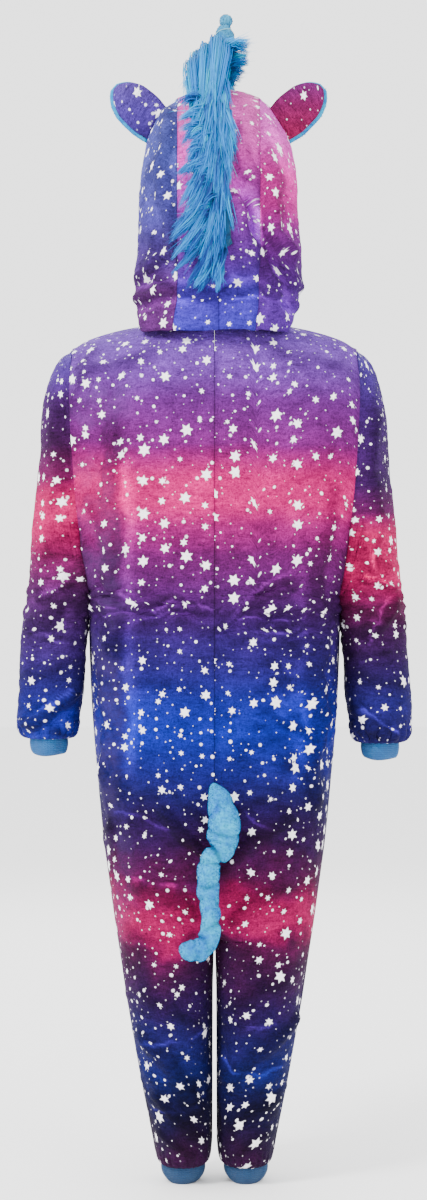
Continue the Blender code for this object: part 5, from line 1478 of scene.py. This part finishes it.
def makeCuff(kind, side, name, drop):
    size = cuffs[kind]
    columns = size["ribs"] * 4
    turn = np.arange(columns) / columns * 2 * math.pi
    rib = np.cos(turn * size["ribs"])
    rows = []
    for share in np.linspace(0, 1, 15):
        belly = 0.0009 * math.sin(math.pi * share) - size["curl"] * share ** 2.4
        reach = belly + 0.00062 * rib * (1 - 0.5 * float(smoothStep((share - 0.85) / 0.15)))
        depth = np.where(np.sin(turn) > 0, size["back"], size["front"])
        x = size["centre"] + (size["halfWidth"] + reach) * np.cos(turn)
        y = (depth + reach) * np.sin(turn)
        # its end hangs a little lower at the back and the front than at the sides
        bow = size["bow"] * (np.abs(np.sin(turn)) ** 1.5 - 0.75) * share
        z = size["top"] - drop - size["height"] * share - bow + 0.0006 * np.sin(turn * 3 + side) * share
        rows.append(np.stack([side * x, y, z], axis=-1))
    # the end turns in
    turned = rows[-1].copy()
    middle = turned.mean(axis=0)
    turned[:, :2] = middle[:2] + (turned[:, :2] - middle[:2]) * 0.955
    turned[:, 2] += 0.0015
    rows.append(turned)
    grid = np.array(rows)
    around = np.tile(turn * 0.03, (len(grid), 1))
    turns = np.tile(turn, (len(grid), 1))
    uv = (around, -runLengths(grid, 0))
    cuff = gridObject("%s_cuff_%s_knit" % (kind, name), grid, True, -side, uv, turns=turns)
    place(cuff, "%s_cuff_%s" % (kind, name), knit)
    sew(cuff, 0.0018)


def knitMaterial():
    material, tree = newMaterial("cuffKnit")
    spot = placeOf(tree)
    course = partsOf(tree, stretched(tree, uvOf(tree, "clothUv"), 1.0, 700.0))[1]
    row = calc(tree, "PINGPONG", course, 1.0)
    share = weighted(tree, row, 0.4, product(tree, cloud(tree, spot, 60.0, 4.0), 0.7), clamp=True)
    ankleShade = spread(tree, partsOf(tree, spot)[2], -0.70, -1.10, 0.90, 0.42)        # painted shade: darker lower down, at the ankles
    toned = scaled(tree, mixColour(tree, share, linear(0, 72, 150), linear(16, 132, 206)), ankleShade)
    finish(tree, toned, 0.85, sheen=0.06, normal=bump(tree, row, 0.6, 0.0010))
    return material


knit = knitMaterial()
for side, name, drop in arms:
    makeCuff("wrist", side, name, drop)
    makeCuff("ankle", side, name, 0.0)
print("cuffs made")


# the buttoned front
placket = {"half": 2.0, "thickness": 0.0024, "bottom": -0.600}      # half its width, in the body's columns


def makePlacket():
    halves = [panels["front_%s_cloth" % name][1] for name in ("left", "right")]
    rows = np.where(halves[0][:, 0, 2] >= placket["bottom"])[0]
    reach = int(round(placket["half"] / panelColumns * (halves[0].shape[1] - 1)))
    base = np.concatenate([halves[0][rows][:, reach:0:-1], halves[1][rows][:, :reach + 1]], axis=1)
    normal = gridNormals(base, False, 1)
    across = runLengths(base, 1)
    width = across[:, -1:]
    edge = np.minimum(across, width - across)
    # it lies proud of the cloth, with a row of stitches near each edge
    z = base[..., 2]
    stitch = -0.0005 * np.exp(-((edge - 0.0045) / 0.0010) ** 2)
    pucker = 0.0005 * np.sin(z * 330 + 2 * across / 0.01) * np.exp(-((edge - 0.004) / 0.004) ** 2)
    proud = 0.0012 + placket["thickness"] * smoothStep(edge / 0.002) + stitch + pucker
    grid = base + normal * proud[..., None]
    band = gridObject("front_placket_cloth", grid, False, 1, (across + 5.9, z))
    place(band, "front_placket", cloth["front"])
    sew(band, 0.0020)
    return grid


bandGrid = makePlacket()
bandTree = treeOf([(bandGrid, False)])


# buttons: dished, four holes, sewn on with crossed thread
button = {"radius": 0.0098, "thickness": 0.0033, "rim": 0.0022, "hole": 0.0011, "holeAt": 0.0028,
          "first": -0.060, "last": -0.560, "count": 5}


def makeButton(number, height):
    hit = [bandTree.ray_cast(Vector((dx, -1.0, height + dz)), Vector((0, 1, 0)))[0]
           for dx in (-0.008, 0.0, 0.008) for dz in (0.008, 0.0, -0.008)]
    tilt = math.atan2(hit[3][1] - hit[5][1], 0.016)
    normal = Vector((0.0, -math.cos(tilt), math.sin(tilt)))
    stand = max((spot - hit[4]).dot(normal) for spot in hit)
    middle = hit[4] + normal * (stand + 0.0003)
    radius, thick, rim = button["radius"], button["thickness"], button["rim"]
    profile = ((radius - 0.0008, 0.0), (radius, 0.0008), (radius, thick - 0.0009), (radius - 0.0008, thick),
               (radius - rim, thick), (radius - rim - 0.0007, thick - 0.0009))
    sides = 48
    rings = len(profile)
    turns = [2 * math.pi * k / sides for k in range(sides)]
    points = [(r * math.cos(turn), r * math.sin(turn), z) for r, z in profile for turn in turns]
    faces = []
    for i in range(rings - 1):
        for k in range(sides):
            after = (k + 1) % sides
            faces.append((i * sides + k, i * sides + after, (i + 1) * sides + after, (i + 1) * sides + k))
    faces.append(tuple(range(sides))[::-1])
    faces.append(tuple((rings - 1) * sides + k for k in range(sides)))
    mesh = bpy.data.meshes.new("button_%d_shell" % number)
    mesh.from_pydata(points, [], faces)
    shell = linked("button_%d_shell" % number, mesh)
    cutters = []
    holeAt = button["holeAt"] * 0.7
    for sx, sy in ((-1, -1), (-1, 1), (1, -1), (1, 1)):
        bpy.ops.mesh.primitive_cylinder_add(vertices=20, radius=button["hole"], depth=0.02,
                                            location=(sx * holeAt, sy * holeAt, 0))
        cutters.append(bpy.context.object)
    cutter = joinInto(cutters[0], cutters[1:])
    cut = shell.modifiers.new("holes", "BOOLEAN")
    cut.object = cutter
    cut.solver = "EXACT"
    bpy.context.view_layer.objects.active = shell
    bpy.ops.object.modifier_apply(modifier=cut.name)
    bpy.data.objects.remove(cutter, do_unlink=True)
    threads = []
    for sx in (-1, 1):
        a = np.array((sx * holeAt, holeAt, thick - 0.0012))
        b = np.array((-sx * holeAt, -holeAt, thick - 0.0012))
        top = (a + b) / 2 + np.array((0, 0, 0.0013 + 0.0003 * sx))
        line = smoothPath([a - (0, 0, 0.002), a, top, b, b - (0, 0, 0.002)], 26)
        grid = tubeGrid(line, np.full(26, 0.00055), 8, start=(0.3, 1.0, 0.0))
        threads.append(gridObject("thread", grid, True, 1, tubeUv(grid)))
    thread = joinInto(threads[0], threads[1:])
    thread.name = "button_%d_thread" % number
    spin = normal.to_track_quat("Z", "Y").to_matrix().to_4x4()
    spin.translation = middle
    for piece, material in ((shell, buttonPaint), (thread, threadPaint)):
        piece.data.transform(spin)
        place(piece, "button_%d" % number, material)
    shell.data.shade_smooth()
    bevel = shell.modifiers.new("edges", "BEVEL")
    bevel.width = 0.0003
    bevel.segments = 2
    bevel.limit_method = "ANGLE"
    bevel.angle_limit = 0.7


buttonPaint, buttonTree = newMaterial("buttonPlastic")
swirl = cloud(buttonTree, placeOf(buttonTree), 90.0, 3.0, distortion=1.0)
finish(buttonTree, mixColour(buttonTree, swirl, linear(20, 96, 160), linear(36, 132, 196)), 0.32)
threadPaint = plushMaterial("buttonThread", (40, 60, 140), (90, 110, 190), 1500.0, roughness=0.7)
for number, height in enumerate(np.linspace(button["first"], button["last"], button["count"]), start=1):
    makeButton(number, float(height))
print("front made")


# floor, lights and camera
def areaLight(name, at, energy, size):
    data = bpy.data.lights.new(name, "AREA")
    data.energy = energy
    data.size = size
    lamp = linked(name, data)
    lamp.location = at
    lamp.rotation_euler = (Vector(middle) - Vector(at)).to_track_quat("-Z", "Y").to_euler()


floorHeight = float(cadBox[0][2]) - 0.0005
bpy.ops.mesh.primitive_plane_add(size=30, location=(0, 0, floorHeight))
floor = bpy.context.object
floor.name = "floor"
floorMaterial, floorTree = newMaterial("paleFloor")
finish(floorTree, (0.92, 0.92, 0.92, 1.0), 0.9)
floor.data.materials.append(floorMaterial)

world = bpy.data.worlds.new("studio")
bpy.context.scene.world = world
world.use_nodes = True
sky = world.node_tree.nodes["Background"].inputs
sky[0].default_value = (1.0, 1.0, 1.0, 1.0)
sky[1].default_value = 2.6
middle = (0.0, 0.0, -0.39)
areaLight("keyLight", (2.3, 2.4, 2.3), 236.0, 1.0)
areaLight("fillLight", (-2.4, 3.0, 0.6), 44.0, 2.2)
areaLight("frontLight", (0.4, -3.4, 1.6), 80.0, 2.0)

cameraData = bpy.data.cameras.new("camera")
camera = linked("camera", cameraData)
bpy.context.scene.camera = camera
cameraDistance = 4.2
rowSize = 0.00145            # metres that one row of the frame covers at the garment
frameRows, frameColumns = 1200, 427
middleColumn, neckRow = 214.5, 330      # where the garment's middle and neck base come in the frame
frameHeight = frameRows * rowSize
centreX = (middleColumn - frameColumns / 2) * rowSize
centreZ = (neckRow - frameRows / 2) * rowSize
camera.location = (centreX, cameraDistance, centreZ)
camera.rotation_euler = (math.pi / 2, 0.0, math.pi)
cameraData.sensor_fit = "VERTICAL"
cameraData.sensor_height = 24.0
cameraData.lens = 24.0 * (cameraDistance - 0.05) / frameHeight
cameraData.clip_end = 60.0

print("stage ready")
